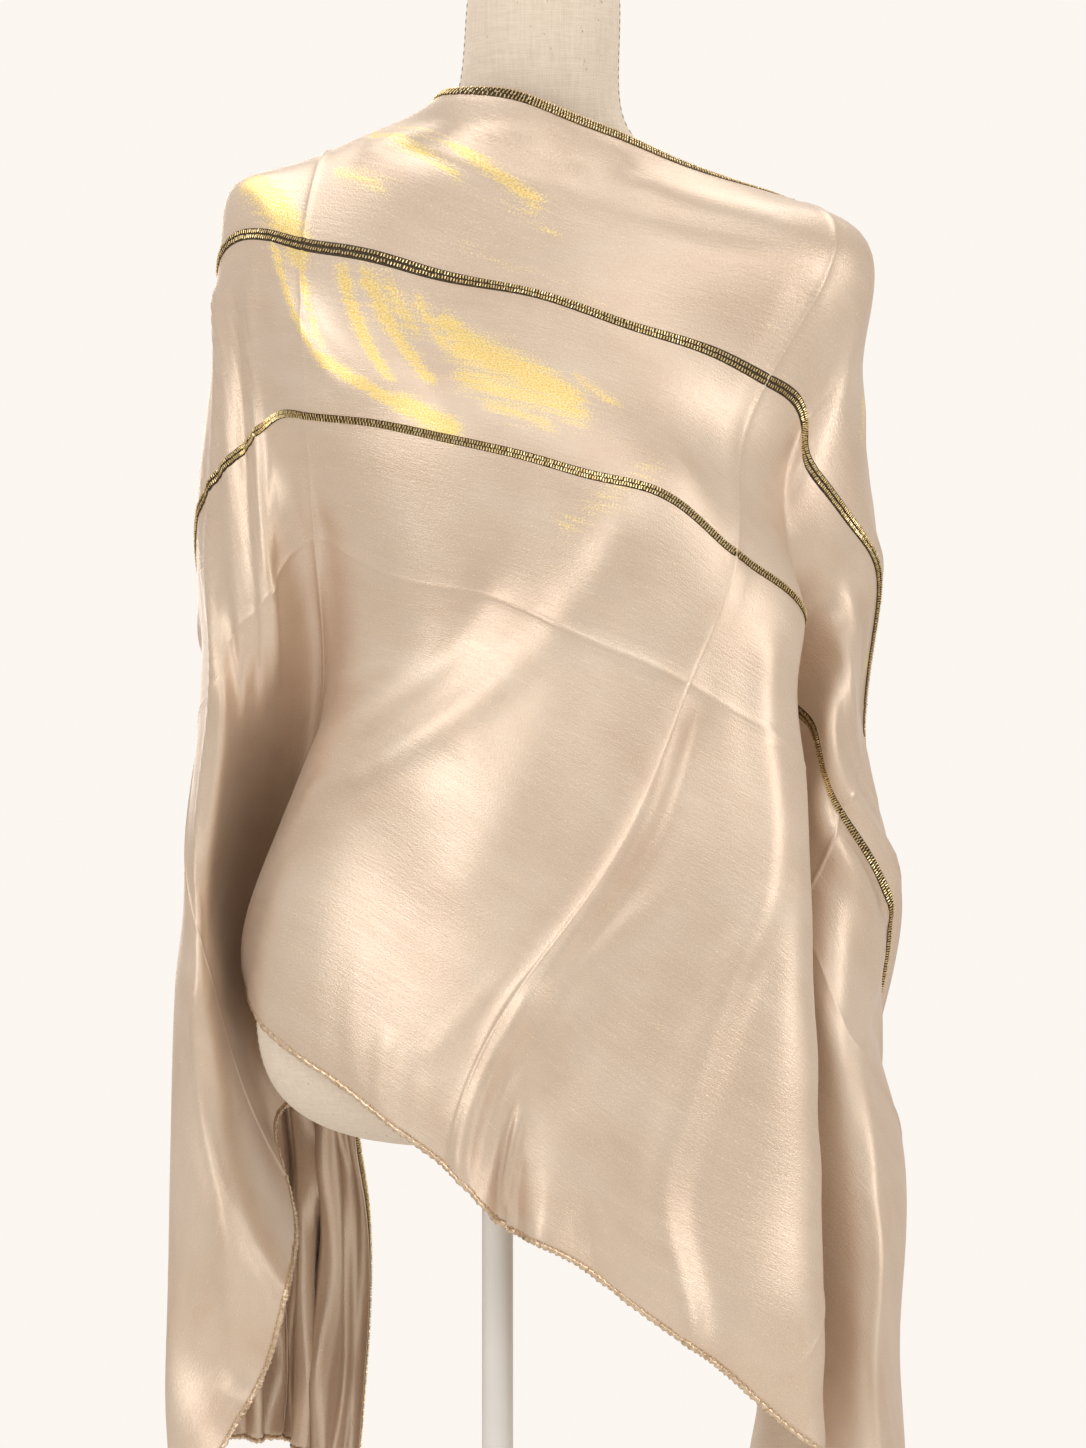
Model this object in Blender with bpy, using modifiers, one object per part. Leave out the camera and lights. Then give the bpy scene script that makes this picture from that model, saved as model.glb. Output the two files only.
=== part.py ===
"""An evening stole draped on a limbless dress form that stands on a pole and a round foot.

The stole is one oblong of thin cloth. It lies across the chest and both shoulders, and its two
ends fall behind the arms as tails. Every point of the cloth is named by its place on the flat
oblong: ALONG the length from the middle, and DOWN the width from the beaded top edge. The tables
say where such points come to lie on the form, and a smooth surface is drawn through them.

Metres, +Z up, the front faces -Y. The origin is the middle of the foot's underside.
"""

import math

import bpy
import numpy as np
from mathutils import Vector
from mathutils.bvhtree import BVHTree

MM = 0.001

# The cloth as it is cut.
STOLE_LENGTH = 2.100
STOLE_WIDTH = 0.700
CLOTH_WALL = 0.0012
CLEAR_OF_FORM = 0.00322
SOFT_LANDING = 0.0040
SEAM_GAP = 0.0008
LEFT_PARTING = -0.140
RIGHT_PARTING = 0.300
MIDDLE_STEP = 0.0260
TAIL_STEP = 0.0400
TAIL_STARTS = 0.500
DOWN_STEP = 0.0260

# The three beaded trims, by the middle of each band down the width.
TRIM_THICK = 0.0010
TRIM_GAP = 0.0003
EDGE_TRIM_DOWN = 0.0065
EDGE_TRIM_WIDTH = 0.0095
UPPER_TRIM_DOWN = 0.130
LOWER_TRIM_DOWN = 0.260
LINE_TRIM_WIDTH = 0.0065

# The dress form, the pole and the foot.
FORM_BOTTOM = 0.800
FORM_SHIFT = -0.006
FORM_LEAN = math.radians(2.8)
SHOULDER_TILT = math.radians(5.0)
TILT_HEIGHT = 600.0
FORM_SQUARENESS = 2.25
FORM_AROUND = 34
FORM_RINGS = 30
POLE_RADIUS = 0.0103
POLE_SIDES = 32
POLE_SOCKET = 0.004
FOOT_RADIUS = 0.165
FOOT_THICK = 0.014
FOOT_EDGE_ROUND = 0.005
FOOT_COLLAR_RADIUS = 0.020
FOOT_COLLAR_HEIGHT = 0.024
FOOT_SIDES = 40
STAND_GAP = 0.0003

# Sections of the form in mm: height over its bottom, half width, depth to the front and the back.
FORM_SECTIONS = (
    (0, 68, 48, 50),
    (5, 98, 68, 72),
    (16, 124, 84, 90),
    (34, 145, 96, 105),
    (60, 156, 103, 115),
    (100, 159, 106, 119),
    (150, 155, 103, 112),
    (210, 136, 95, 97),
    (270, 119, 87, 84),
    (310, 115, 84, 80),
    (360, 122, 94, 82),
    (410, 136, 113, 87),
    (455, 146, 121, 93),
    (500, 154, 113, 97),
    (540, 164, 97, 95),
    (570, 174, 80, 86),
    (592, 179, 66, 74),
    (606, 172, 50, 58),
    (620, 152, 44, 52),
    (636, 120, 38, 46),
    (650, 88, 38, 45),
    (664, 65, 41, 47),
    (680, 55, 44, 49),
    (705, 52, 47, 50),
    (740, 51, 49, 50),
    (766, 50, 48, 49),
    (774, 44, 42, 43),
)

# Each table below is one line of the cloth as it lies, in mm: ALONG, DOWN, then where that point
# lies: ACROSS (x), OUT (y, towards the back) and UP (z).
TOP_EDGE = (
    (-1000, 0, -96, 142, 588),
    (-800, 0, -100, 138, 790),
    (-600, 0, -102, 131, 992),
    (-400, 0, -94, 117, 1200),
    (-250, 0, -74, 97, 1362),
    (-150, 0, -46, 66, 1455),
    (-92, 0, -36, 4, 1489),
    (-68, 0, -26, -36, 1490),
    (-48, 0, 1, -57, 1488),
    (-26, 0, 24, -66, 1481),
    (3, 0, 49, -68, 1470),
    (34, 0, 75, -66, 1460),
    (66, 0, 100, -58, 1449),
    (124, 0, 146, -38, 1431),
    (165, 0, 180, -5, 1420),
    (215, 0, 199, 46, 1388),
    (300, 0, 203, 82, 1308),
    (450, 0, 200, 100, 1155),
    (620, 0, 194, 106, 982),
    (800, 0, 187, 108, 798),
    (1000, 0, 180, 106, 592),
)
UPPER_LINE = (
    (-270, 130, -184, 0, 1375),
    (-237, 130, -172, -30, 1392),
    (-215, 130, -157, -50, 1393),
    (-165, 130, -123, -76, 1383),
    (-78, 130, -41, -92, 1363),
    (-8, 130, 22, -100, 1350),
    (67, 130, 88, -102, 1328),
    (129, 130, 143, -94, 1311),
    (167, 130, 174, -80, 1296),
    (198, 130, 194, -62, 1284),
    (222, 130, 200, -50, 1268),
    (245, 130, 200, -55, 1251),
    (285, 130, 213, -50, 1229),
    (330, 130, 231, -30, 1207),
    (396, 130, 250, 10, 1177),
)
LOWER_LINE = (
    (-347, 260, -196, 10, 1219),
    (-305, 260, -180, -20, 1241),
    (-240, 260, -156, -35, 1265),
    (-190, 260, -136, -60, 1276),
    (-165, 260, -122, -80, 1273),
    (-118, 260, -78, -102, 1267),
    (-47, 260, -17, -122, 1253),
    (1, 260, 24, -127, 1243),
    (52, 260, 66, -130, 1231),
    (87, 260, 96, -130, 1224),
    (124, 260, 124, -126, 1208),
    (167, 260, 152, -118, 1183),
    (222, 260, 190, -95, 1157),
    (250, 260, 198, -78, 1142),
    (290, 260, 182, -38, 1128),
    (322, 260, 171, 0, 1115),
    (345, 260, 173, 12, 1107),
    (366, 260, 182, 9, 1098),
    (395, 260, 197, -13, 1084),
    (422, 260, 206, -34, 1073),
    (460, 260, 212, -42, 1046),
    (494, 260, 223, -35, 1022),
    (530, 260, 244, -15, 994),
    (562, 260, 259, 15, 966),
)
MIDDLE_LINE = (
    (-445, 350, -195, 5, 1089),
    (-400, 350, -183, -35, 1100),
    (-340, 350, -174, -30, 1131),
    (-270, 350, -152, -50, 1154),
    (-185, 350, -128, -40, 1191),
    (-165, 350, -116, -45, 1195),
    (-105, 350, -71, -85, 1172),
    (-24, 350, -10, -110, 1158),
    (70, 350, 60, -126, 1128),
    (167, 350, 123, -128, 1100),
    (222, 350, 161, -115, 1078),
    (290, 350, 198, -85, 1046),
    (350, 350, 176, -38, 1023),
    (394, 350, 162, 3, 1006),
    (420, 350, 163, 16, 994),
    (446, 350, 173, 14, 981),
    (490, 350, 192, -4, 955),
    (569, 350, 216, -30, 905),
    (628, 350, 236, -26, 862),
    (680, 350, 264, 20, 817),
)
RIGHT_VALLEY = (
    (358, 305, 165, 0, 1060),
    (382, 305, 167, 15, 1050),
    (406, 305, 178, 12, 1040),
    (452, 425, 161, 0, 912),
    (478, 425, 161, 15, 902),
    (504, 425, 172, 13, 889),
    (348, 425, 202, -88, 951),
    (444, 550, 208, -90, 794),
    (400, 600, 140, -124, 773),
    (483, 600, 209, -88, 731),
    (521, 650, 210, -87, 668),
    (575, 600, 162, -5, 701),
    (600, 600, 163, 8, 692),
    (624, 600, 174, 7, 681),
)
HIP_LINE = (
    (-700, 580, -215, 20, 759),
    (-600, 520, -212, 14, 892),
    (-575, 521, -206, -6, 892),
    (-546, 522, -196, -18, 892),
    (-505, 524, -189, -13, 908),
    (-455, 525, -186, 6, 925),
    (-350, 520, -178, 54, 965),
    (-265, 520, -150, 100, 988),
    (-205, 520, -130, 74, 1003),
    (-150, 520, -132, 34, 1015),
    (-155, 450, -112, 8, 1090),
    (-100, 500, -119, -28, 1061),
    (-50, 600, -160, -2, 959),
    (0, 520, -71, -92, 1026),
    (167, 520, 46, -130, 949),
    (300, 520, 117, -127, 900),
    (406, 500, 206, -90, 857),
    (465, 500, 176, -42, 838),
    (515, 500, 160, 0, 820),
    (540, 500, 160, 13, 810),
    (566, 500, 170, 12, 797),
    (602, 500, 192, -3, 775),
    (650, 500, 226, -30, 742),
    (760, 500, 254, -26, 664),
)
LOWER_HEM = (
    (-1000, 700, -212, 50, 452),
    (-900, 700, -206, 10, 525),
    (-810, 700, -178, 0, 602),
    (-755, 700, -159, 20, 633),
    (-670, 700, -140, -20, 690),
    (-535, 700, -137, 62, 748),
    (-430, 700, -152, 100, 801),
    (-290, 700, -122, 120, 826),
    (-200, 700, -134, 94, 851),
    (-120, 700, -151, 66, 872),
    (-60, 700, -163, 34, 885),
    (0, 700, -160, -5, 895),
    (36, 700, -136, -60, 868),
    (67, 700, -110, -85, 850),
    (97, 700, -85, -102, 833),
    (128, 700, -61, -115, 815),
    (163, 700, -34, -122, 796),
    (200, 700, -9, -130, 771),
    (235, 700, 9, -108, 753),
    (262, 700, 22, -130, 748),
    (310, 700, 51, -130, 734),
    (360, 700, 81, -125, 711),
    (420, 700, 122, -130, 682),
    (490, 700, 159, -110, 650),
    (540, 700, 196, -95, 617),
    (560, 700, 209, -85, 606),
    (600, 700, 182, -48, 594),
    (635, 700, 164, -10, 582),
    (657, 700, 166, 3, 574),
    (680, 700, 177, 2, 564),
    (706, 700, 195, -12, 552),
    (750, 700, 212, -32, 525),
    (870, 700, 240, -40, 446),
    (1000, 700, 258, -15, 352),
)
SHOULDERS = (
    (-110, 40, -62, 0, 1474),
    (-150, 65, -97, 0, 1459),
    (-190, 78, -135, 0, 1444),
    (-240, 85, -176, 2, 1424),
    (-179, 12, -92, 62, 1432),
    (-95, 85, -55, -64, 1432),
    (-48, 50, 7, -71, 1441),
    (-72, 30, -29, -53, 1472),
    (-220, 30, -126, 64, 1406),
    (-255, 65, -158, 52, 1400),
    (-500, 420, -206, 10, 990),
    (-820, 620, -220, 30, 628),
    (205, 15, 223, 0, 1396),
    (254, 44, 237, 5, 1341),
    (302, 71, 243, 8, 1288),
    (860, 475, 270, 20, 594),
)

# Folds of the tails in mm, one row each: the fold's place on the cloth and on the form where it
# starts, then its place on the cloth at the end and where it hangs there, across and out. How high
# that end hangs follows from the length of cloth in between.
TAIL_FOLDS = (
    (-262, 25, -97, 95, 1362, -1000, 60, -110, 170),
    (-270, 40, -110, 92, 1361, -1000, 105, -130, 138),
    (-283, 62, -128, 86, 1359, -1000, 180, -151, 178),
    (-290, 75, -140, 80, 1358, -1000, 225, -171, 142),
    (-297, 89, -152, 71, 1357, -1000, 262, -189, 162),
    (-303, 103, -163, 60, 1356, -1000, 300, -206, 138),
    (-310, 124, -173, 47, 1352, -1000, 355, -190, 114),
    (-318, 145, -182, 34, 1348, -1000, 410, -207, 88),
    (-330, 180, -188, 20, 1325, -1000, 510, -191, 66),
    (301, 12, 210, 74, 1307, 1000, 60, 190, 142),
    (302, 18, 214, 71, 1307, 1000, 105, 210, 110),
    (303, 30, 221, 63, 1305, 1000, 180, 227, 141),
    (304, 38, 227, 55, 1304, 1000, 230, 245, 112),
    (304, 44, 231, 48, 1303, 1000, 265, 262, 112),
    (304, 50, 234, 41, 1301, 1000, 300, 255, 86),
    (303, 60, 240, 26, 1297, 1000, 370, 240, 48),
)
HANG_SHARE = 1.010
FOLD_SAMPLES = (0.0, 0.3, 0.6, 0.8, 1.0)


def clear_scene():
    """The startup scene is emptied, so that only this object is left."""
    for old in list(bpy.data.objects):
        bpy.data.objects.remove(old)


def material(name, color, metallic, roughness):
    finish = bpy.data.materials.new(name)
    finish.use_nodes = True
    shader = finish.node_tree.nodes["Principled BSDF"]
    shader.inputs["Base Color"].default_value = (*color, 1.0)
    shader.inputs["Metallic"].default_value = metallic
    shader.inputs["Roughness"].default_value = roughness
    finish.diffuse_color = (*color, 1.0)
    return finish


def body(name, points, faces, finish, collection):
    mesh = bpy.data.meshes.new(name)
    mesh.from_pydata([tuple(p) for p in points], [], faces)
    mesh.validate()
    mesh.polygons.foreach_set("use_smooth", [True] * len(mesh.polygons))
    mesh.materials.append(finish)
    made = bpy.data.objects.new(name, mesh)
    collection.objects.link(made)
    return made


def ring_faces(rings, around):
    """Faces of a closed loft: bands between rings of equal count, and a cap at each end."""
    faces = []
    for r in range(rings - 1):
        for k in range(around):
            a = r * around + k
            b = r * around + (k + 1) % around
            faces.append((a, b, b + around, a + around))
    faces.append(tuple(reversed(range(around))))
    faces.append(tuple(range((rings - 1) * around, rings * around)))
    return faces


def smooth_through(rows, at):
    """Values between the rows of a table, on a smooth curve through them (the first column leads)."""
    table = np.array(rows, float)
    x = table[:, 0]
    y = table[:, 1:]
    slope = np.gradient(y, x, axis=0)
    k = np.clip(np.searchsorted(x, at) - 1, 0, len(x) - 2)
    width = (x[k + 1] - x[k])[:, None]
    u = ((at - x[k]) / (x[k + 1] - x[k]))[:, None]
    return (
        (2 * u**3 - 3 * u**2 + 1) * y[k]
        + (u**3 - 2 * u**2 + u) * width * slope[k]
        + (3 * u**2 - 2 * u**3) * y[k + 1]
        + (u**3 - u**2) * width * slope[k + 1]
    )


def form_points():
    """Rings of the form: a rounded section at each height, leant a little to one side."""
    heights = np.array([row[0] for row in FORM_SECTIONS], float)
    spread = np.interp(
        np.linspace(0, len(heights) - 1, FORM_RINGS), np.arange(len(heights)), heights
    )
    sizes = smooth_through(FORM_SECTIONS, spread)
    points = []
    for height, (half, front, back) in zip(spread, sizes):
        for k in range(FORM_AROUND):
            turn = 2 * math.pi * k / FORM_AROUND
            c = math.cos(turn)
            s = math.sin(turn)
            power = 2 / FORM_SQUARENESS
            x = half * math.copysign(abs(c) ** power, c)
            y = (back if s > 0 else front) * math.copysign(abs(s) ** power, s)
            across = x * math.cos(FORM_LEAN) + height * math.sin(FORM_LEAN)
            # The tilt grows from the level bottom to the shoulders, one of which sits lower.
            up = height - x * math.sin(SHOULDER_TILT) * min(height / TILT_HEIGHT, 1.0)
            points.append((FORM_SHIFT + across * MM, y * MM, FORM_BOTTOM + up * MM))
    return np.array(points)


def laid_rows():
    """Every row of the tables as (along, down) and (x, y, z) in metres, with the folds sampled."""
    rows = []
    for table in (
        TOP_EDGE,
        UPPER_LINE,
        LOWER_LINE,
        MIDDLE_LINE,
        RIGHT_VALLEY,
        HIP_LINE,
        LOWER_HEM,
        SHOULDERS,
    ):
        rows.extend(table)
    for a0, d0, x0, y0, z0, a1, d1, x1, y1 in TAIL_FOLDS:
        length = math.hypot(a1 - a0, d1 - d0)
        sideways = math.hypot(x1 - x0, y1 - y0)
        z1 = z0 - math.sqrt((length * HANG_SHARE) ** 2 - sideways**2)
        for u in FOLD_SAMPLES:
            rows.append(
                [p + (q - p) * u for p, q in zip((a0, d0, x0, y0, z0), (a1, d1, x1, y1, z1))]
            )
    table = np.array(rows) * MM
    return table[:, :2], table[:, 2:]


def spread_of(gaps):
    """The bending function of a thin surface between points this far apart."""
    return gaps**3


class Drape:
    """The smooth surface through the laid points, kept clear of the form."""

    def __init__(self, form):
        self.at, lies = laid_rows()
        count = len(self.at)
        gaps = np.linalg.norm(self.at[:, None] - self.at[None], axis=2)
        flat = np.hstack([np.ones((count, 1)), self.at])
        system = np.zeros((count + 3, count + 3))
        system[:count, :count] = spread_of(gaps)
        system[:count, count:] = flat
        system[count:, :count] = flat.T
        self.weights = np.linalg.solve(system, np.vstack([lies, np.zeros((3, 3))]))
        self.form = form

    def free(self, spots):
        gaps = np.linalg.norm(spots[:, None] - self.at[None], axis=2)
        flat = np.hstack([np.ones((len(spots), 1)), spots])
        return np.hstack([spread_of(gaps), flat]) @ self.weights

    def laid(self, spots):
        points = self.free(spots)
        for i, p in enumerate(points):
            near, normal, _, _ = self.form.find_nearest(Vector(p))
            out = (Vector(p) - near).dot(normal)
            if out > 0.03 or (Vector(p) - near).length > 0.03 + abs(out):
                continue
            over = (out - CLEAR_OF_FORM) / SOFT_LANDING
            kept = CLEAR_OF_FORM + SOFT_LANDING * (max(over, 0) + math.log1p(math.exp(-abs(over))))
            points[i] = p + np.array(normal) * (kept - out)
        return points

    def faces_out(self, spots, reach=0.004):
        """Points of the cloth and the direction that its right side faces at each."""
        half_length = STOLE_LENGTH / 2
        here = self.laid(spots)
        sides = []
        for axis in (0, 1):
            step = np.zeros(2)
            step[axis] = reach
            low = np.clip(spots - step, (-half_length, 0), (half_length, STOLE_WIDTH))
            high = np.clip(spots + step, (-half_length, 0), (half_length, STOLE_WIDTH))
            sides.append(self.laid(high) - self.laid(low))
        normal = np.cross(sides[1], sides[0])
        return here, normal / np.linalg.norm(normal, axis=1)[:, None]


def slab(drape, along, down, inner, outer):
    """A closed sheet over a grid of the cloth, from one height over it to another."""
    spots = np.array([(a, d) for a in along for d in down])
    here, out = drape.faces_out(spots)
    points = np.vstack([here + out * inner, here + out * outer])
    rows = len(along)
    cols = len(down)
    top = rows * cols
    faces = []
    for r in range(rows - 1):
        for c in range(cols - 1):
            a = r * cols + c
            b = a + cols
            faces.append((a, b, b + 1, a + 1))
            faces.append((top + a, top + a + 1, top + b + 1, top + b))
    edge = [c for c in range(cols)]
    edge += [r * cols + cols - 1 for r in range(1, rows)]
    edge += [(rows - 1) * cols + c for c in range(cols - 2, -1, -1)]
    edge += [r * cols for r in range(rows - 2, 0, -1)]
    for i, a in enumerate(edge):
        b = edge[(i + 1) % len(edge)]
        faces.append((a, b, top + b, top + a))
    return points, faces


def steps(start, end, step):
    return list(np.linspace(start, end, max(1, round((end - start) / step)) + 1))


def stations(start, end):
    """Where the cloth is ruled along its length: closer in the middle than in the tails."""
    marks = [start]
    for low, high, step in (
        (-STOLE_LENGTH / 2, -TAIL_STARTS, TAIL_STEP),
        (-TAIL_STARTS, TAIL_STARTS, MIDDLE_STEP),
        (TAIL_STARTS, STOLE_LENGTH / 2, TAIL_STEP),
    ):
        low = max(low, start)
        high = min(high, end)
        if high > low:
            marks += steps(low, high, step)[1:]
    return marks


def down_lines(trims):
    """Where the cloth is ruled down its width: both sides of each trim, and evenly in between."""
    marks = [0.0]
    for _, middle, width in trims:
        marks += [middle - width / 2, middle + width / 2]
    marks.append(STOLE_WIDTH)
    lines = [0.0]
    for low, high in zip(marks, marks[1:]):
        lines += steps(low, high, DOWN_STEP)[1:]
    return np.array(lines)


def build():
    clear_scene()
    collection = bpy.data.collections.new("evening stole on a dress form")
    bpy.context.scene.collection.children.link(collection)

    linen = material("natural linen", (0.78, 0.71, 0.62), 0.0, 0.85)
    white = material("white satin paint", (0.86, 0.86, 0.85), 0.0, 0.35)
    tissue = material("champagne tissue", (0.74, 0.60, 0.47), 0.35, 0.38)
    gold = material("antique gold beads", (0.55, 0.40, 0.16), 0.9, 0.35)

    shape = form_points()
    form = body("dress_form", shape, ring_faces(FORM_RINGS, FORM_AROUND), linen, collection)
    tree = BVHTree.FromPolygons(
        [Vector(p) for p in shape], [tuple(f.vertices) for f in form.data.polygons]
    )
    drape = Drape(tree)

    trims = (
        ("trim_edge", EDGE_TRIM_DOWN, EDGE_TRIM_WIDTH),
        ("trim_upper", UPPER_TRIM_DOWN, LINE_TRIM_WIDTH),
        ("trim_lower", LOWER_TRIM_DOWN, LINE_TRIM_WIDTH),
    )
    half_length = STOLE_LENGTH / 2
    down = down_lines(trims)
    stretches = (
        ("stole_left_tail", -half_length, LEFT_PARTING - SEAM_GAP / 2),
        ("stole_front", LEFT_PARTING + SEAM_GAP / 2, RIGHT_PARTING - SEAM_GAP / 2),
        ("stole_right_tail", RIGHT_PARTING + SEAM_GAP / 2, half_length),
    )
    ruled = []
    for name, start, end in stretches:
        along = stations(start, end)
        ruled += along
        points, faces = slab(drape, along, down, 0.0, CLOTH_WALL)
        body(name, points, faces, tissue, collection)

    low = CLOTH_WALL + TRIM_GAP
    for name, middle, width in trims:
        sides = (middle - width / 2, middle + width / 2)
        points, faces = slab(drape, ruled, sides, low, low + TRIM_THICK)
        body(name, points, faces, gold, collection)

    build_stand(white, collection)


def build_stand(white, collection):
    """The pole is a plain rod, and the foot a turned plate with a low collar that the pole stands in."""
    collar = POLE_RADIUS + STAND_GAP
    profile = [(0.0, 0.0), (FOOT_RADIUS - FOOT_EDGE_ROUND, 0.0)]
    for k in range(1, 5):
        turn = -math.pi / 2 + math.pi / 2 * k / 4
        profile.append(
            (
                FOOT_RADIUS - FOOT_EDGE_ROUND + FOOT_EDGE_ROUND * math.cos(turn),
                FOOT_EDGE_ROUND + FOOT_EDGE_ROUND * math.sin(turn),
            )
        )
    profile += [
        (FOOT_RADIUS - 0.002, FOOT_THICK * 0.60),
        (FOOT_RADIUS * 0.80, FOOT_THICK * 0.86),
        (FOOT_RADIUS * 0.45, FOOT_THICK),
        (FOOT_COLLAR_RADIUS + 0.003, FOOT_THICK + 0.001),
        (FOOT_COLLAR_RADIUS, FOOT_THICK + 0.004),
        (FOOT_COLLAR_RADIUS, FOOT_COLLAR_HEIGHT - 0.002),
        (FOOT_COLLAR_RADIUS - 0.002, FOOT_COLLAR_HEIGHT),
        (collar, FOOT_COLLAR_HEIGHT),
        (collar, POLE_SOCKET),
        (0.0, POLE_SOCKET),
    ]
    turned("foot", profile, FOOT_SIDES, white, collection)
    low = POLE_SOCKET + STAND_GAP
    top = FORM_BOTTOM - STAND_GAP
    rod = [(0.0, low), (POLE_RADIUS, low), (POLE_RADIUS, top), (0.0, top)]
    turned("pole", rod, POLE_SIDES, white, collection)


def turned(name, profile, sides, finish, collection):
    """A body turned round the Z axis from its outline, which starts and ends on the axis."""
    mesh = bpy.data.meshes.new(name)
    count = len(profile)
    edges = [(i, i + 1) for i in range(count - 1)]
    mesh.from_pydata([(r, 0.0, z) for r, z in profile], edges, [])
    mesh.materials.append(finish)
    made = bpy.data.objects.new(name, mesh)
    collection.objects.link(made)
    screw = made.modifiers.new("turned", "SCREW")
    screw.axis = "Z"
    screw.angle = 2 * math.pi
    screw.steps = sides
    screw.render_steps = sides
    screw.use_merge_vertices = True
    screw.merge_threshold = 0.00005
    screw.use_normal_flip = True
    screw.use_smooth_shade = True
    return made


build()
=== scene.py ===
# %% [markdown]
# An evening stole on a dress form. The stole is one oblong of thin champagne tissue, 0.70 m by
# 2.10 m, with three bands of small gold beads. It lies across the chest and both shoulders, and
# its ends hang behind the arms. The form is a linen covered torso on a white pole with a round
# foot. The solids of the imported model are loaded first, because every piece here is placed on them.

import math

import bmesh
import bpy
import numpy as np
from mathutils import Matrix, Vector, noise
from mathutils.bvhtree import BVHTree


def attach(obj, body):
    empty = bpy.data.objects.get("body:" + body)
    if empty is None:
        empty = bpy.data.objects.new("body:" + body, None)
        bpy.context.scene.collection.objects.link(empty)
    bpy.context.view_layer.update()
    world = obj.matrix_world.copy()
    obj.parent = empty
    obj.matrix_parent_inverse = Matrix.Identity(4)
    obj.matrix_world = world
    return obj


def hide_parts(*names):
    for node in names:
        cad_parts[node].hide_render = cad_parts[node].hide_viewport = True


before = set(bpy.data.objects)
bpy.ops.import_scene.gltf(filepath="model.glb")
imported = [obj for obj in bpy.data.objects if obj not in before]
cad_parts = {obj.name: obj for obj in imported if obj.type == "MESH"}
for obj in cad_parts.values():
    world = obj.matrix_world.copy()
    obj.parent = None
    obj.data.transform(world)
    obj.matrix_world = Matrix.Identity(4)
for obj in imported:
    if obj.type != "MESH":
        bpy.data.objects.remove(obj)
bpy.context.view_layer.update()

# %% [markdown]
# The picture was taken from the front at chest height with a long lens, so upright lines stay
# upright. The camera stands 3 m away and looks level along +Y. One pixel of the picture is
# 0.66 mm at the middle of the form, and that fixes the focal length.

# %% Camera
PICTURE_HIGH = 1448
PIXEL_AT_FORM = 0.00066
CAMERA_AWAY = 3.0
CAMERA_AT = (0.030, -CAMERA_AWAY, 1.075)
SENSOR = 36.0

lens = SENSOR * CAMERA_AWAY / (PICTURE_HIGH * PIXEL_AT_FORM)
camera_data = bpy.data.cameras.new("camera")
camera_data.sensor_fit = "VERTICAL"
camera_data.sensor_height = SENSOR
camera_data.lens = lens
camera = bpy.data.objects.new("camera", camera_data)
camera.location = CAMERA_AT
camera.rotation_euler = (math.pi / 2, 0.0, 0.0)
bpy.context.scene.collection.objects.link(camera)
bpy.context.scene.camera = camera
print("lens:", round(lens, 1), "mm")

# %% [markdown]
# The tissue is a satin metal thread cloth, so it shows what it reflects. Large soft lamps give the
# broad pale bands along the folds, and the darker room between them gives the warm brown valleys.
# The wall behind is a plain cream that only the camera sees. All other rays meet the room's tone.

# %% Light and wall colour
WALL_CREAM = (0.973, 0.925, 0.875)
ROOM_TONE = (0.60, 0.55, 0.50)
ROOM_LIGHT = 1.12
# Each lamp: name, place, where it points, width, height, watts, colour.
LAMPS = (
    ("window left", (-1.9, -1.9, 1.9), (0.0, 0.0, 1.15), 1.1, 1.9, 18, (1.0, 0.97, 0.93)),
    ("window right", (2.1, -1.6, 1.5), (0.05, 0.0, 1.0), 0.7, 1.9, 14, (1.0, 0.96, 0.91)),
    ("front card", (0.5, -3.4, 2.6), (0.03, 0.0, 1.1), 1.6, 1.0, 11, (1.0, 0.97, 0.94)),
    ("ceiling", (0.0, 0.4, 3.0), (0.0, 0.0, 1.2), 1.8, 1.8, 16, (1.0, 0.98, 0.96)),
    ("back card", (-0.6, 2.4, 1.6), (0.0, 0.0, 1.1), 1.4, 1.6, 16, (1.0, 0.98, 0.95)),
)


def lamp(name, place, aim, width, height, watts, colour):
    data = bpy.data.lights.new(name, "AREA")
    data.shape = "RECTANGLE"
    data.size = width
    data.size_y = height
    data.energy = watts
    data.color = colour
    made = bpy.data.objects.new(name, data)
    made.location = place
    made.rotation_euler = (Vector(aim) - Vector(place)).to_track_quat("-Z", "Y").to_euler()
    bpy.context.scene.collection.objects.link(made)


for row in LAMPS:
    lamp(*row)

world = bpy.data.worlds.new("pale studio")
bpy.context.scene.world = world
world.use_nodes = True
sky = world.node_tree
sky.nodes.clear()
seen = sky.nodes.new("ShaderNodeBackground")
seen.inputs["Color"].default_value = (*WALL_CREAM, 1.0)
room = sky.nodes.new("ShaderNodeBackground")
room.inputs["Color"].default_value = (*ROOM_TONE, 1.0)
room.inputs["Strength"].default_value = ROOM_LIGHT
path = sky.nodes.new("ShaderNodeLightPath")
pick = sky.nodes.new("ShaderNodeMixShader")
end = sky.nodes.new("ShaderNodeOutputWorld")
sky.links.new(path.outputs["Is Camera Ray"], pick.inputs[0])
sky.links.new(room.outputs[0], pick.inputs[1])
sky.links.new(seen.outputs[0], pick.inputs[2])
sky.links.new(pick.outputs[0], end.inputs["Surface"])
bpy.context.scene.view_settings.view_transform = "Standard"
print(len(LAMPS), "lamps")

# %% [markdown]
# Every piece is worked out in the frame's own metres, so its object stays at the origin. Cloth,
# hem and tape start as flat grids whose points are then put in place, and their flat places are
# kept as a UV map for the weave.

# %% Helpers for shapes
JOIN_WITHIN = 0.000001
SHORTEST = 1e-9


def unit(vectors):
    """The same directions with length one."""
    return vectors / np.maximum(np.linalg.norm(vectors, axis=-1, keepdims=True), SHORTEST)


def ordered_grid(bm, rows, columns):
    """A flat grid of this many points each way is added, and its points come back row by row."""
    bmesh.ops.create_grid(bm, x_segments=rows - 1, y_segments=columns - 1, size=1.0)
    return sorted(bm.verts, key=lambda v: (round(v.co.x, 6), round(v.co.y, 6)))


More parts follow.
